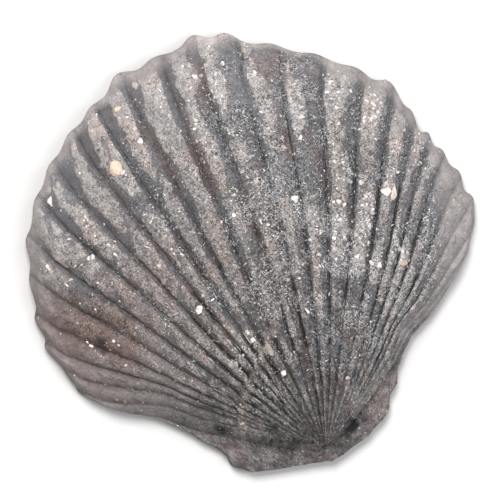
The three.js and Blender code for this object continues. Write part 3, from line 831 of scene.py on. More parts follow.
def stone_tint(crust):
    """Tint of the outer face if a share of each place were crust. Bare stone comes first,
    then each layer is mixed over it by its share, or, if it is a TONE, multiplies it."""
    layers = [
        (MID_GREY, (1 - furrow) * (0.7 + 0.5 * mottle)),
        (BROWN_GREY, 0.8 * rusty * (1 - crust)),
        (SANDY, 0.92 * crust),
        (PALE_SAND, crust * (0.7 * pale + 0.5 * s_step(streaks + mottle, 0.2, 0.8))),
        (PINK_SAND, 0.75 * pinkish * crust),
        (BARE, 0.4 * furrow),
        (RUBBED, smooth_shell * (1 - 0.55 * furrow)),
        (BARE, 0.6 * bare * (1 - crust)),
        (EAR, ears),
        (EAR_RED, 0.6 * ears * s_step(grid_hills(3.5, 55, 3), 0.0, 0.35)),
        (PALE_SAND, 0.35 * ears * s_step(grid_hills(1.4, 56, 3), 0.32, 0.5)),
        (BARE, 0.4 * umbo_block * (1 - 0.5 * crust)),
        (OLIVE, 0.6 * s_fall(radius_grid, 18, 42) * (1 - ears) * (1 - furrow)),
        (WINE, 0.7 * rusty * furrow * (1 - rubbed)),
        (ROSY, 0.8 * rosy * (1 - 0.5 * furrow) * (1 - 0.7 * bare) * (1 - 0.7 * smooth_grey)),
        (TONE, 1 + 0.7 * crumbs - 0.1 * rosy * rubbed),
        (SLATE, 0.9 * s_step(slate, 0.3, 0.7)),
        (MID_GREY, 0.7 * smooth_grey),
        (RUST, 0.9 * stain),
        (OCHRE, 0.5 * stain * s_step(grid_hills(3, 48, 3), 0.1, 0.4)),
        (DARK_RUST, 0.5 * dark_stain),
        (HINGE_GRAIN, 0.85 * hinge_grain),
        (TONE, 1 + 0.8 * hinge_grain * fine_grit),
        # The crease at a furrow's foot is darkened as painted shade; on the far left it is a wider brown
        # band, partly real brown furrow and partly painted shade.
        (CREASE_SHADE, 0.6 * crease * (1 - 0.8 * far_left)),
        (FURROW_BROWN_SHADE, 0.8 * crease * far_left),
        (FILL, 0.8 * s_step(spots["dark_fill"], 0.3, 0.6)),
        (DARK_SPOT, 0.9 * dark_spot),
        (EAR_RED, 0.8 * spots["red_smear"]),
        (VEIN, 0.9 * vein),
        # The pits' near-black tint is partly painted shade in the sunk pits.
        (PIT_DARK_AND_SHADE, pit_dark),
        (TONE, broad_tone_light_and_shade),
        (PALE_TIP, 0.8 * grid_spot(PALE_TIP_AT, PALE_TIP_SIZE)),
        (TONE, 1 + 0.3 * mottle + 0.1 * grid_hills(20, 52, 2)),
        (TONE, 1 + 0.3 * ears * grid_hills(2.6, 54, 3)),
    ]
    tint = np.array(BARE) + np.zeros_like(outer_points)
    for colour, share in layers:
        tint = tint * share[..., None] if colour is TONE else mix(tint, colour, share)
    return tint


bare_tint, crust_tint, tint = stone_tint(0 * crust), stone_tint(crust_cover), stone_tint(crust)
print("mean tint:", tint.reshape(-1, 3).mean(axis=0).round(3))

# %% [markdown]
# ## What the shader reads from the mesh
# Besides the two tints, each point says how close it is to being crusted, how strongly
# bare grains sparkle there, how dark the pores of the crust are, how flaky it is, and how
# far the thin line at the furrow's foot is. The shader can then cut crisp edges that are
# finer than the mesh.

# %% Sparkle, pores and flakes
less_on_right = 1 - 0.35 * s_step(line_grid, 25, 45)
umbo_top = near_umbo * (1 - ears) * (1 - left_flank)
calm = 1 - 0.5 * s_fall(to_margin, 5, 24) * (1 - 0.6 * crusty_edge)
unrubbed, ungreyed = 1 - 0.6 * smooth_shell, 1 - 0.5 * smooth_grey
sparkle = (0.5 + 0.95 * glitter) * (0.6 + 0.7 * glittering) * less_on_right * unrubbed * calm
sparkle = sparkle + 0.4 * ears * s_step(line_grid, 50, 60) + 0.2 * ears + 0.5 * hinge_grain
sparkle = (sparkle + 0.5 * pit_dark + 0.35 * umbo_top) * ungreyed
pores = ((0.46 + 0.55 * glitter) * unrubbed * calm + 0.3 * ears + 0.2 * umbo_top) * ungreyed
flaky = ((0.2 + 0.6 * crust) * (1 - 0.75 * smooth_shell) + 0.5 * crumbly) * (1 - 0.7 * smooth_grey)
print("mean sparkle:", sparkle.mean().round(3), " mean pores:", pores.mean().round(3))

# %% Storing the values in the mesh
def store(mesh, name, values):
    """Puts one number, or one colour, per point into the mesh."""
    values = np.asarray(values, np.float32)
    if values.ndim == 1:
        mesh.attributes.new(name, "FLOAT", "POINT").data.foreach_set("value", values)
    else:
        colour = np.concatenate([values, np.ones((len(values), 1), np.float32)], axis=1)
        mesh.attributes.new(name, "FLOAT_COLOR", "POINT").data.foreach_set("color", colour.ravel())


def whole_valve(outer, inner):
    """Values for every point of the valve: outer grid, inner grid and the two middles."""
    flat = [part.reshape(-1, *part.shape[2:]) for part in (outer, inner)]
    return np.concatenate(flat + [outer[:1].mean(axis=1), inner[:1].mean(axis=1)])


under_tone = 1 + 0.25 * hills(inner_x, inner_y, 7, 53, 3) - 0.3 * scar
under_tint = np.array(UNDERSIDE) * under_tone[..., None]
inside = np.zeros_like(inner_x)
valve_values = {
    "tint": (bare_tint, under_tint),
    "crust_tint": (crust_tint, under_tint),
    "crust_level": (level, inside - 1),
    "sparkle": (sparkle, inside + 0.3),
    "pores": (pores, inside),
    "flaky": (flaky, inside),
    "crease_line": (crease_line, inside + NO_LINE_MM),
}
for name, (outer, inner) in valve_values.items():
    store(valve.data, name, whole_valve(outer, inner))
print("stored:", ", ".join(valve_values))

# %% [markdown]
# ## Finish of the valve
# A mineralised shell is dull and faintly waxy where it is bare. The stored tint is
# multiplied by two speckles on Object coordinates, a noise for the mottling and a
# Voronoi pattern for single grains, stronger where the shell is sandy. The crust's edge
# is cut crisply by a fine noise, and crevices run through it where it is flaky, sunk and
# darkened as painted shade. A thin line darkened as painted shade follows the foot of a
# furrow, with a painted highlight beside it here and there. The same patterns give a very
# fine bump and vary the roughness.

# %% A recipe for a material
NODES_PER_ROW, NODE_STEP_X, NODE_STEP_Y = 8, 200, -350


class Recipe:
    """A material's node tree. Each way of adding a node takes sockets or plain numbers."""

    def __init__(self, name):
        self.material = bpy.data.materials.new(name)
        self.material.use_nodes = True
        self.tree = self.material.node_tree
        self.place = self.node("ShaderNodeTexCoord").outputs["Object"]

    def feed(self, node, inputs):
        """Joins a socket, or puts a number, to each input that is named."""
        for name, value in inputs.items():
            if isinstance(value, bpy.types.NodeSocket):
                self.tree.links.new(value, node.inputs[name])
            else:
                node.inputs[name].default_value = value

    def node(self, kind, inputs=None, **settings):
        """Adds a node, sets its properties and feeds it. Nodes stand in rows."""
        row, column = divmod(len(self.tree.nodes), NODES_PER_ROW)
        made = self.tree.nodes.new(kind)
        made.location = ((column - NODES_PER_ROW) * NODE_STEP_X, row * NODE_STEP_Y)
        for name, value in settings.items():
            setattr(made, name, value)
        self.feed(made, inputs or {})
        return made

    def maths(self, operation, *values):
        """A Math node of one to three sockets or numbers."""
        return self.node("ShaderNodeMath", dict(enumerate(values)), operation=operation).outputs[0]

    def remap(self, source, low, high, to_low, to_high):
        """A Map Range node from low..high to to_low..to_high."""
        names = ("Value", "From Min", "From Max", "To Min", "To Max")
        ends = dict(zip(names, (source, low, high, to_low, to_high)))
        return self.node("ShaderNodeMapRange", ends).outputs["Result"]

    def stored(self, attribute, output="Fac"):
        """A number, or a colour, that the mesh keeps."""
        return self.node("ShaderNodeAttribute", attribute_name=attribute).outputs[output]

    def noise(self, scale):
        """Noise on Object coordinates; the scale is in cells to a metre."""
        inputs = {"Scale": scale, "Detail": 4, "Roughness": 0.8, "Vector": self.place}
        return self.node("ShaderNodeTexNoise", inputs).outputs["Fac"]


print("a recipe adds nodes in rows of", NODES_PER_ROW)

# %% Patterns of the stone
# The darkening of crevices and of the line is painted shade, and the lightening beside the line is a
# painted highlight.
CREVICE_SCALE, CREVICE_WARP_MM, CREVICE_WIDTH, CREVICE_SHADE = 620, 2.8, 0.13, 0.5
CREVICE_PLACES, CREVICE_FROM, CREVICE_TO = 450, 0.46, 0.56
LINE_HALF_MM, LINE_RAGGED_MM, LINE_RAGGED_SCALE, LINE_SHADE = 0.18, 0.55, 1100, 0.75
LIP_PLACES, LIP_FROM, LIP_TO, LIP_HIGHLIGHT = 260, 0.5, 0.56, 1.0


def speckle(recipe, mottle_scale, grain_scale):
    """4 (noise - 0.5) + 1.5 r^2 - 1.3 g^3 - 0.15, r and g being random numbers for each
    Voronoi cell, so that a few grains are bright and a few are dark."""
    grain = recipe.node("ShaderNodeTexVoronoi", {"Scale": grain_scale, "Vector": recipe.place})
    random = recipe.node("ShaderNodeSeparateColor", {"Color": grain.outputs["Color"]}).outputs
    squared = recipe.maths("POWER", random["Red"], 2)
    cubed = recipe.maths("POWER", random["Green"], 3)
    darker = recipe.maths("MULTIPLY_ADD", cubed, -1.3, -0.15)
    grain_tone = recipe.maths("MULTIPLY_ADD", squared, 1.5, darker)
    mottle_tone = recipe.maths("MULTIPLY_ADD", recipe.noise(mottle_scale), 4, -2)
    return recipe.maths("ADD", mottle_tone, grain_tone)


def crevices(recipe):
    """1 in a narrow crack between warped Voronoi cells, here and there and only as far as
    the crust is flaky, and 0 elsewhere."""
    warp = recipe.node("ShaderNodeTexNoise", {"Scale": CREVICE_SCALE, "Vector": recipe.place})
    warped = recipe.node(
        "ShaderNodeVectorMath",
        {0: warp.outputs["Color"], 1: (CREVICE_WARP_MM * MM,) * 3, 2: recipe.place},
        operation="MULTIPLY_ADD")
    cells = recipe.node("ShaderNodeTexVoronoi", {"Scale": CREVICE_SCALE, "Vector": warped.outputs[0]},
                        feature="DISTANCE_TO_EDGE")
    near_crack = recipe.remap(cells.outputs["Distance"], 0.0, CREVICE_WIDTH, 1, 0)
    here_and_there = recipe.remap(recipe.noise(CREVICE_PLACES), CREVICE_FROM, CREVICE_TO, 0, 1)
    crack = recipe.maths("MULTIPLY", near_crack, here_and_there)
    return recipe.maths("MULTIPLY", crack, recipe.stored("flaky"))


def furrow_line(recipe):
    """The thin line, 1 where crease_line plus a ragged noise is under its half width, and a
    painted highlight beside it, 1 in some places: one after the other. The line is painted shade."""
    ragged_noise = recipe.noise(LINE_RAGGED_SCALE)
    uneven = recipe.maths("MULTIPLY_ADD", ragged_noise, LINE_RAGGED_MM, -LINE_RAGGED_MM / 2)
    gap = recipe.maths("ADD", uneven, recipe.stored("crease_line"))
    line = recipe.remap(gap, LINE_HALF_MM * 0.5, LINE_HALF_MM * 1.2, 1, 0)
    beside = recipe.maths("ABSOLUTE", recipe.maths("SUBTRACT", gap, LINE_HALF_MM * 2))
    lip_highlight = recipe.remap(beside, 0.04, LINE_HALF_MM * 0.8, 1, 0)
    in_places = recipe.remap(recipe.noise(LIP_PLACES), LIP_FROM, LIP_TO, 0, 1)
    return line, recipe.maths("MULTIPLY", lip_highlight, in_places)


print("crevices are up to", round(CREVICE_WIDTH / CREVICE_SCALE / MM, 2), "mm wide and the line",
      LINE_HALF_MM * 2, "mm")

# %% Finish of the valve
CRUST_EDGE_SCALE, CRUST_EDGE_SWING, CRUST_PROUD_MM = 1100, 0.75, 0.12
CRUST_FROM, CRUST_TO = -0.03, 0.05
GRAIN_SPECKLE, DARKEST_TONE = 0.25, 0.25
DULLNESS_SWING, SPECULAR = 0.12, 0.4


def stone_material(name, mottle_scale, grain_scale, dullness, bump_mm, crusty=False):
    """Dull stone: the point's tint times a tone, rough, with a fine bump.

    The tone is 1 plus a share of the speckle. Crusty stone has crust wherever crust_level
    plus a fine noise passes 0: it has its own tint and dark pores and stands a bit proud.
    Crevices and the furrow's line are sunk and darkened as painted shade, and a painted
    highlight lightens some places beside the line."""
    recipe = Recipe(name)
    maths, stored = recipe.maths, recipe.stored
    pattern = speckle(recipe, mottle_scale, grain_scale)
    colour, speckled, proud, marks = stored("tint", "Color"), GRAIN_SPECKLE, 0.0, []
    if crusty:
        edge_noise = recipe.noise(CRUST_EDGE_SCALE)
        edge = maths("MULTIPLY_ADD", edge_noise, CRUST_EDGE_SWING, -CRUST_EDGE_SWING / 2)
        level_here = maths("ADD", edge, stored("crust_level"))
        crust_here = recipe.remap(level_here, CRUST_FROM, CRUST_TO, 0, 1)
        crack = crevices(recipe)
        line, lip_highlight = furrow_line(recipe)
        # Painted shade in the crevices and the line, painted highlight beside the line.
        marks = [(crack, -CREVICE_SHADE), (lip_highlight, LIP_HIGHLIGHT), (line, -LINE_SHADE)]
        tints = {0: crust_here, 6: colour, 7: stored("crust_tint", "Color")}
        colour = recipe.node("ShaderNodeMix", tints, data_type="RGBA").outputs[2]
        bare_share = maths("SUBTRACT", 1.0, crust_here)
        bare_speckle = maths("MULTIPLY", stored("sparkle"), bare_share)
        pore_speckle = maths("MULTIPLY", stored("pores"), crust_here)
        speckled = maths("SUBTRACT", bare_speckle, pore_speckle)
        proud = maths("MULTIPLY", crust_here, CRUST_PROUD_MM)
        proud = maths("MULTIPLY_ADD", crack, -CRUST_PROUD_MM, proud)
        proud = maths("MULTIPLY_ADD", line, -2 * CRUST_PROUD_MM, proud)
    tone = maths("MULTIPLY_ADD", pattern, speckled, 1.0)
    for mark, change in marks:
        tone = maths("MULTIPLY_ADD", mark, change, tone)
    kept = maths("MAXIMUM", tone, DARKEST_TONE)
    toned = recipe.node("ShaderNodeVectorMath", {0: colour, "Scale": kept}, operation="SCALE")
    height = maths("MULTIPLY_ADD", kept, bump_mm, proud)
    bump = recipe.node("ShaderNodeBump", {"Height": height, "Distance": MM, "Strength": 1})
    recipe.feed(recipe.tree.nodes["Principled BSDF"], {
        "Base Color": toned.outputs["Vector"],
        "Roughness": recipe.remap(kept, 0.4, 1.6, dullness - DULLNESS_SWING, dullness + DULLNESS_SWING),
        "Normal": bump.outputs["Normal"],
        "Specular IOR Level": SPECULAR,
    })
    return recipe.material


valve.data.materials.append(stone_material("worn_stone_shell", 2300, 2900, 0.74, 0.08, crusty=True))
print("materials:", len(bpy.data.materials))

# %% [markdown]
# ## Grains and chips
# Sand grains and bits of shell stand on the surface as bodies of their own, which gives
# them real edges and shadows. There are tens of thousands, so each has only a few faces:
# an octahedron for a sand grain, and an icosahedron, flattened, for a chip. They are
# drawn at random by area and mask, turned at random, and sunk by about half.

# %% Grains and chips
OCTAHEDRON = (
    np.array([(1, 0, 0), (-1, 0, 0), (0, 1, 0), (0, -1, 0), (0, 0, 1), (0, 0, -1)], float),
    np.array([(0, 2, 4), (2, 1, 4), (1, 3, 4), (3, 0, 4), (2, 0, 5), (1, 2, 5), (3, 1, 5), (0, 3, 5)]),
)


def icosahedron():
    """Twelve corners, (0, 1, golden) and its turns, and the twenty triangles between."""
    gold = (1 + 5 ** 0.5) / 2
    corners = [(-1, gold, 0), (1, gold, 0), (-1, -gold, 0), (1, -gold, 0), (0, -1, gold), (0, 1, gold),
               (0, -1, -gold), (0, 1, -gold), (gold, 0, -1), (gold, 0, 1), (-gold, 0, -1), (-gold, 0, 1)]
    faces = [(0, 11, 5), (0, 5, 1), (0, 1, 7), (0, 7, 10), (0, 10, 11), (1, 5, 9), (5, 11, 4), (11, 10, 2),
             (10, 7, 6), (7, 1, 8), (3, 9, 4), (3, 4, 2), (3, 2, 6), (3, 6, 8), (3, 8, 9), (4, 9, 5),
             (2, 4, 11), (6, 2, 10), (8, 6, 7), (9, 8, 1)]
    corners = np.array(corners, float)
    return corners / np.linalg.norm(corners[0]), np.array(faces)


def drawn_places(weight, count, seed):
    """Random places on the outer face: a cell is drawn by its area times its weight, then
    a spot in it by blending its corners. Returns points, normals and cell numbers."""
    random = np.random.default_rng(seed)
    beside = np.roll(outer_points, -1, axis=1)
    corner = [outer_points[:-1], beside[:-1], outer_points[1:], beside[1:]]
    cross = np.cross(corner[3] - corner[0], corner[2] - corner[1])
    area = np.linalg.norm(cross, axis=2) / 2
    chance = (area * weight[:-1]).ravel()
    cell = random.choice(chance.size, count, p=chance / chance.sum())
    a, b = random.uniform(0, 1, (2, count, 1))
    flat = [part.reshape(-1, 3)[cell] for part in corner]
    points = (flat[0] * (1 - a) + flat[1] * a) * (1 - b) + (flat[2] * (1 - a) + flat[3] * a) * b
    return points, outer_normals[:-1].reshape(-1, 3)[cell], cell


def scattered(name, body, points, normals, sizes, tints, seed):
    """One mesh of many small bodies: each is the unit body times its three sizes, its
    corners nudged, turned at random about the surface normal and set on its point."""
    random = np.random.default_rng(seed)
    corners, faces = body
    count = len(points)
    shape = corners * random.uniform(0.75, 1.25, (count, len(corners), 1)) * sizes[:, None, :]
    helper = np.where(np.abs(normals[:, :1]) > 0.8, [[0, 1, 0]], [[1, 0, 0]])
    first = np.cross(normals, helper)
    first = first / np.linalg.norm(first, axis=1, keepdims=True)
    second = np.cross(normals, first)
    turn = random.uniform(0, 2 * np.pi, (count, 1))
    u = first * np.cos(turn) + second * np.sin(turn)
    v = np.cross(normals, u)
    tilt = random.normal(0, 0.25, (count, 1))
    w = normals + u * tilt
    w = w / np.linalg.norm(w, axis=1, keepdims=True)
    u = np.cross(v, w)
    placed = (points[:, None] + shape[..., :1] * u[:, None] + shape[..., 1:2] * v[:, None]
              + shape[..., 2:] * w[:, None])
    faces_all = (faces[None] + np.arange(count)[:, None, None] * len(corners)).reshape(-1, 3)
    piece = new_piece(name, placed.reshape(-1, 3), [faces_all], smooth=False)
    store(piece.data, "tint", np.repeat(tints, len(corners), axis=0))
    piece.data.materials.append(grain_stone)


def sprinkled(name, body, weight, count, seeds, size, shapes, tints, shrink=None):
    """Scatters grains over the valve by a weight. A grain's size is lognormal (middle,
    spread, least, most), in mm, times a random shape between two, and tints works out
    their colours from their cells. The five seeds are for place, size, shape, tint, turn."""
    points, normals, cell = drawn_places(weight, count, seeds[0])
    size_random, shape_random, tint_random = (np.random.default_rng(seed) for seed in seeds[1:4])
    middle, spread, least, most = size
    grain = size_random.lognormal(np.log(middle), spread, (count, 1)).clip(least, most)
    if shrink is not None:
        grain = grain * shrink[:-1].reshape(-1, 1)[cell]
    shape = shape_random.uniform(*shapes, (count, 3))
    scattered(name, body, points, normals, grain * shape, tints(cell, tint_random), seeds[4])


def like_below(pale_share, spread):
    """Tints like the stone below a grain times a random tone, or, for a share of the
    grains, like pale shell."""
    def tints(cell, random):
        below = tint[:-1].reshape(-1, 3)[cell]
        tone = np.exp(random.normal(0.05, spread, (len(cell), 1)))
        pale = random.uniform(0, 1, (len(cell), 1)) < pale_share
        shell = np.array([PALE_SHELL]) * random.uniform(0.45, 1.2, (len(cell), 1))
        return np.clip(np.where(pale, shell, below * tone), DARKEST_GRAIN, PALEST_GRAIN)
    return tints


def one_colour(colour, spread):
    """Tints of one colour times a lognormal tone."""
    def tints(cell, random):
        return np.array([colour]) * random.lognormal(0, spread, (len(cell), 1))
    return tints


PALE_SHELL, PALE_SLIVER = (0.58, 0.54, 0.50), (0.335, 0.330, 0.330)
DARKEST_GRAIN, PALEST_GRAIN = 0.012, 0.9
grain_stone = stone_material("sand_grains", 2500, 5000, 0.7, 0.02)
print("bodies ready:", len(OCTAHEDRON[1]), "and", len(icosahedron()[1]), "faces")

# %% [markdown]
# ## Fine sand
# Sand is cemented wherever there is crust, most of all in the middle of the valve, and
# also along the hinge and in the healed break. A bump could look like sand from above,
# but real grains also break the outline and cast shadows, and eight faces are enough.

# %% Fine sand
fine_weight = crust * (0.25 + s_step(grid_hills(3, 61, 3), -0.3, 0.4)) + 0.12 * (1 - smooth_shell)
fine_weight = fine_weight * (0.4 + glitter) * calm
fine_weight = fine_weight + 1.2 * hinge_grain + vein + 0.5 * crumbs.clip(0) + 0.25 * ears
sprinkled("fine_sand", OCTAHEDRON, fine_weight, count=18000, seeds=(62, 63, 64, 65, 66),
          size=(0.14, 0.35, 0.07, 0.34), shapes=([0.8, 0.8, 0.5], [1.3, 1.1, 0.8]),
          tints=like_below(pale_share=0.03, spread=0.4))

# %% [markdown]
# ## Pale slivers
# The bare stone glitters with splinters of white shell, thin and several times as long as
# wide. A bright speckle in the shader could stand for them, but it would stay flat in a
# slanting light. They are drawn where there is little crust, and none near the beak.

# %% Pale slivers
sliver_weight = (1.2 - crust) * (1 - smooth_shell) * (0.1 + glittering)
sliver_weight = sliver_weight * calm * (0.05 + glitter) * s_step(radius_grid, 14, 38)
sprinkled("pale_slivers", OCTAHEDRON, sliver_weight, count=13000, seeds=(68, 69, 59, 60, 58),
          size=(0.15, 0.4, 0.07, 0.4), shapes=([1.2, 0.4, 0.25], [2.6, 0.7, 0.4]),
          tints=one_colour(PALE_SLIVER, spread=0.35))

# %% [markdown]
# ## Shell chips
# Bits of broken shell lie on the crust, the largest two or three times as long as the
# largest sand grain. Their outlines show, so each has the twenty faces of an icosahedron
# instead of eight. They are smaller and fewer towards the umbo.

# %% Shell chips
chip_weight = crust * (s_step(grid_hills(5, 71, 3), 0.05, 0.6) + 1.5 * pale) + 0.05 * (1 - smooth_shell)
chip_weight = chip_weight * (0.35 + glitter) * s_step(radius_grid, 6, 30)
sprinkled("shell_chips", icosahedron(), chip_weight, count=3200, seeds=(72, 73, 74, 75, 76),
          size=(0.23, 0.55, 0.12, 0.75), shapes=([0.9, 0.5, 0.25], [1.5, 1.0, 0.5]),
          tints=like_below(pale_share=0.12, spread=0.5),
          shrink=0.5 + 0.5 * s_step(radius_grid, 20, 45))

# %% [markdown]
# ## Ring scars
# Small creatures once lived fixed to the valve. Each left a ragged ring of pale shell,
# 2 to 4 mm across. A torus would be too neat, so a ring is a circle of small chips.

# %% Ring scars
RING_SCARS = [((-3.9, 84.2), 1.9), ((-2.2, 70.7), 0.9), ((3.7, 72.8), 1.4), ((2.8, 85.2), 1.4),
              ((-14.7, 29.8), 1.4)]
CHIPS_PER_RING = 22
RING_SHELL = (0.42, 0.395, 0.38)


def nearest_point(x, y):
    """Number of the grid point that is nearest to a place, seen from above."""
    return np.hypot(x_grid - x, y_grid - y).argmin()


ring_random = np.random.default_rng(77)
ring_at, ring_radius = (np.array(part) for part in zip(*RING_SCARS))
ring_angle = ring_random.uniform(0, 2 * np.pi, (len(RING_SCARS), CHIPS_PER_RING))
ring_reach = ring_radius[:, None] * ring_random.normal(1, 0.12, ring_angle.shape)
ring_x = (ring_at[:, :1] + ring_reach * np.cos(ring_angle)).ravel()
ring_y = (ring_at[:, 1:] + ring_reach * np.sin(ring_angle)).ravel()
ring_below = [nearest_point(x, y) for x, y in zip(ring_x, ring_y)]
ring_points = np.column_stack([ring_x, ring_y, outer_points.reshape(-1, 3)[ring_below, 2]])
ring_sizes = ring_random.uniform([0.2, 0.14, 0.1], [0.42, 0.24, 0.2], (len(ring_points), 3))
scattered("ring_scars", icosahedron(), ring_points, outer_normals.reshape(-1, 3)[ring_below],
          ring_sizes, one_colour(RING_SHELL, 0.25)(ring_below, ring_random), 78)

# %% [markdown]
# ## Larger cemented pieces
# A cream pebble, a few broken bits of white shell, some lumps of grit and long thin flakes
# that lie along the ribs are big enough to know by sight. Each is a small closed stone,
# made from a sphere of latitude and longitude: cream pebbles are pushed in and out by
# random hills, and broken pieces are cut by flat facets. All are sunk by nearly half, as
# they are cemented in.

# %% Places of the larger pieces
CREAM, WHITE, GRIT_LUMP = (0.62, 0.47, 0.36), (0.66, 0.60, 0.56), (0.36, 0.32, 0.28)
ORANGE, TAN, STREAK = (0.40, 0.31, 0.26), (0.27, 0.232, 0.202), (0.40, 0.385, 0.385)
IVORY = (0.56, 0.49, 0.43)
# each lump: its place, its three half sizes in mm and its colour
LUMPS = [
    ((-28, 85.2), (1.6, 2, 0.9), CREAM), ((34.1, 59.1), (1.5, 1.5, 0.7), WHITE),
    ((35.3, 58.2), (0.9, 1.7, 0.5), IVORY), ((11.5, 64.4), (0.9, 0.9, 0.6), WHITE),
    ((-17, 103.4), (0.9, 0.7, 0.6), GRIT_LUMP), ((-23.1, 99.2), (0.9, 0.7, 0.6), CREAM),
    ((-2.4, 101), (1.1, 0.7, 0.5), WHITE), ((-46.2, 82.6), (0.7, 1.1, 0.5), WHITE),
    ((-19.1, 45.5), (0.9, 0.7, 0.6), WHITE), ((-14.6, 30.1), (0.7, 0.6, 0.35), GRIT_LUMP),
    ((32.1, 41.2), (1, 0.8, 0.6), ORANGE), ((22.4, 47.8), (0.45, 0.9, 0.4), TAN),
    ((-20.1, 90), (0.7, 0.6, 0.4), WHITE), ((-4.1, 24.4), (0.7, 0.9, 0.4), WHITE),
    ((10.7, 18.2), (0.4, 0.6, 0.35), GRIT_LUMP), ((-17.8, 15.6), (0.8, 0.7, 0.4), ORANGE),
    ((-5.9, 32), (0.7, 1.9, 0.4), TAN), ((-51.7, 67.1), (0.9, 0.5, 0.4), WHITE),
    ((-47.2, 62.5), (0.55, 0.35, 0.35), WHITE), ((-48.8, 61.7), (0.6, 0.3, 0.3), WHITE),
    ((-43.4, 65.2), (0.6, 0.25, 0.3), WHITE), ((-41, 59.7), (0.35, 0.35, 0.3), WHITE),
    ((-34.8, 65), (0.6, 0.5, 0.4), WHITE), ((-47.5, 45.3), (0.75, 0.3, 0.35), WHITE),
    ((-48.2, 46.5), (0.4, 0.3, 0.3), WHITE), ((-41.9, 44.7), (0.3, 0.3, 0.3), WHITE),
    ((-41, 43.4), (0.35, 0.25, 0.3), WHITE), ((-45.7, 71.2), (0.9, 0.2, 0.3), WHITE),
    ((-44.6, 72.2), (0.7, 0.2, 0.3), WHITE), ((-41.5, 66.2), (0.5, 0.25, 0.3), WHITE),
    ((-33.8, 68.1), (0.4, 0.3, 0.3), WHITE), ((-45.2, 65.3), (0.5, 0.2, 0.3), WHITE),
    ((-9, 34.3), (0.8, 0.5, 0.5), WHITE), ((-9.6, 36.6), (0.6, 0.5, 0.4), WHITE),
    ((6.1, 37.3), (0.4, 0.7, 0.5), WHITE), ((5.1, 102), (0.5, 0.5, 0.4), WHITE),
]
# each long flake: its place and its half length in mm
LONG_FLAKES = [
    ((-8.6, 21), 2), ((-11.1, 21.6), 1), ((-12.6, 20), 1.1), ((-6.3, 20), 1.1), ((-10.2, 35.7), 1.6),
    ((-12.9, 33.7), 1.1), ((-20.4, 24.4), 1.7), ((-14.6, 35.9), 0.9), ((-20.1, 32.7), 0.9),
]
FLAKE_HALF_WIDTH, FLAKE_HALF_HEIGHT = 0.17, 0.3
LUMPS += [(at, (FLAKE_HALF_WIDTH, length, FLAKE_HALF_HEIGHT), STREAK) for at, length in LONG_FLAKES]
print("larger pieces:", len(LUMPS))

# %% Larger cemented pieces
LAT, LON = 18, 30
PER_STONE = LAT * LON + 2
FACETS, PEBBLE_HILLS, RAISED = 9, 0.25, 0.25
FIRST_STONE_SEED = 80


def stone(at, half_sizes, colour, seed):
    """A closed stone: a sphere's rings between two poles, times its three half sizes. A
    cream pebble is rounded by hills. The others are broken: along each direction the
    radius is the nearest of several flat facets, distance / (direction . normal)."""
    random = np.random.default_rng(seed)
    lat = np.linspace(-np.pi / 2, np.pi / 2, LAT + 2)[1:-1, None]
    lon = np.linspace(0, 2 * np.pi, LON, endpoint=False)[None]
    ball = np.stack([np.cos(lat) * np.cos(lon), np.cos(lat) * np.sin(lon), np.sin(lat) + 0 * lon], axis=2)
    ball = np.concatenate([ball.reshape(-1, 3), [(0, 0, -1), (0, 0, 1)]])
    if colour == CREAM:
        u, v = ball[:, 0] + 3 * ball[:, 2], ball[:, 1] - 2 * ball[:, 2]
        reach = 1 + PEBBLE_HILLS * hills(u, v, 0.9, seed, 3)
    else:
        normals = random.normal(0, 1, (FACETS, 3))
        normals = normals / np.linalg.norm(normals, axis=1, keepdims=True)
        facing = np.maximum(ball @ normals.T, 0.05)
        reach = np.minimum((random.uniform(0.5, 1, FACETS) / facing).min(axis=1), 1.5)
    points = ball * reach[:, None] * np.array(half_sizes)
    turn = random.uniform(0, np.pi)
    if colour == CREAM:
        turn = 0
    elif colour in (STREAK, TAN, IVORY):
        turn = -np.arctan2(*at)
    x, y, z = points.T
    points = np.stack([x * np.cos(turn) - y * np.sin(turn), x * np.sin(turn) + y * np.cos(turn), z], axis=1)
    ground = outer_points.reshape(-1, 3)[nearest_point(*at), 2]
    return points + np.array([*at, ground + RAISED * half_sizes[2]])


stone_points = np.concatenate([stone(*lump, FIRST_STONE_SEED + i) for i, lump in enumerate(LUMPS)])
stone_faces = []
for start in range(0, len(stone_points), PER_STONE):
    low_pole, last_ring = start + LAT * LON, start + (LAT - 1) * LON
    stone_faces += [grid_quads(start, LAT, LON), fan(low_pole, start, LON, reverse=True),
                    fan(low_pole + 1, last_ring, LON)]
cemented = new_piece("cemented_pieces", stone_points, stone_faces, smooth=False)
cemented_tint = np.repeat([colour for _, _, colour in LUMPS], PER_STONE, axis=0)
cemented_tone = 1 + 0.3 * hills(stone_points[:, 0], stone_points[:, 1], 0.5, 99, 2)
store(cemented.data, "tint", cemented_tint * cemented_tone[:, None])
cemented.data.materials.append(grain_stone)

# %% [markdown]
# ## Floor, light and camera
# A pale floor and two large soft lights, the stronger one above and beyond the far margin,
# show the relief without hard shadows. The camera looks straight down through a long
# lens, turned so that the hinge slopes.

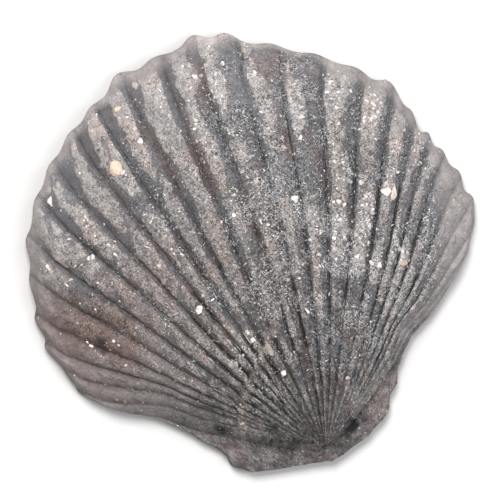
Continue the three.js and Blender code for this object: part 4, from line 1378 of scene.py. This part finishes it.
# %% Floor, light and camera
FLOOR_HALF, FLOOR_Z = 4, -0.00005
PAPER, PAPER_ROUGHNESS = (0.62, 0.615, 0.605, 1), 0.9
SKY, SKY_STRENGTH = (0.93, 0.95, 1.0, 1), 0.32
HINGE_TURN = 18
VIEW_WIDTH = 125
LOOK_AT = (-0.26, 0.47)
CAMERA_UP = 2000
SENSOR, CAMERA_FAR = 36, 20


def area_light(name, place_mm, size_mm, watts, colour):
    """A square soft light that faces the middle of the floor."""
    data = bpy.data.lights.new(name, "AREA")
    data.shape, data.size, data.energy, data.color = "SQUARE", size_mm * MM, watts, colour
    lamp = bpy.data.objects.new(name, data)
    bpy.context.collection.objects.link(lamp)
    lamp.location = Vector(place_mm) * MM
    lamp.rotation_euler = (-lamp.location).to_track_quat("-Z", "Y").to_euler()


floor_mesh = bpy.data.meshes.new("floor")
floor_corners = [(-1, -1), (1, -1), (1, 1), (-1, 1)]
floor_mesh.from_pydata([(x * FLOOR_HALF, y * FLOOR_HALF, FLOOR_Z) for x, y in floor_corners],
                       [], [(0, 1, 2, 3)])
floor = bpy.data.objects.new("floor", floor_mesh)
bpy.context.collection.objects.link(floor)
paper = bpy.data.materials.new("pale_paper")
paper.use_nodes = True
paper_shader = paper.node_tree.nodes["Principled BSDF"]
paper_shader.inputs["Base Color"].default_value = PAPER
paper_shader.inputs["Roughness"].default_value = PAPER_ROUGHNESS
floor_mesh.materials.append(paper)

area_light("overhead", (0, 630, 1150), 700, 23.4, (1.0, 0.99, 0.98))
area_light("side_fill", (700, -450, 1000), 800, 9.6, (0.97, 0.98, 1.0))
world = bpy.data.worlds.new("studio")
world.use_nodes = True
world.node_tree.nodes["Background"].inputs["Color"].default_value = SKY
world.node_tree.nodes["Background"].inputs["Strength"].default_value = SKY_STRENGTH
bpy.context.scene.world = world
bpy.context.scene.view_settings.view_transform = "Standard"

camera_data = bpy.data.cameras.new("camera")
camera_data.sensor_width = SENSOR
camera_data.lens = SENSOR * CAMERA_UP / VIEW_WIDTH
camera_data.clip_end = CAMERA_FAR
camera = bpy.data.objects.new("camera", camera_data)
bpy.context.collection.objects.link(camera)
camera.location = (LOOK_AT[0] * MM, LOOK_AT[1] * MM, CAMERA_UP * MM)
camera.rotation_euler = (0, 0, np.radians(-HINGE_TURN))
bpy.context.scene.camera = camera
print("lens, mm:", camera_data.lens)
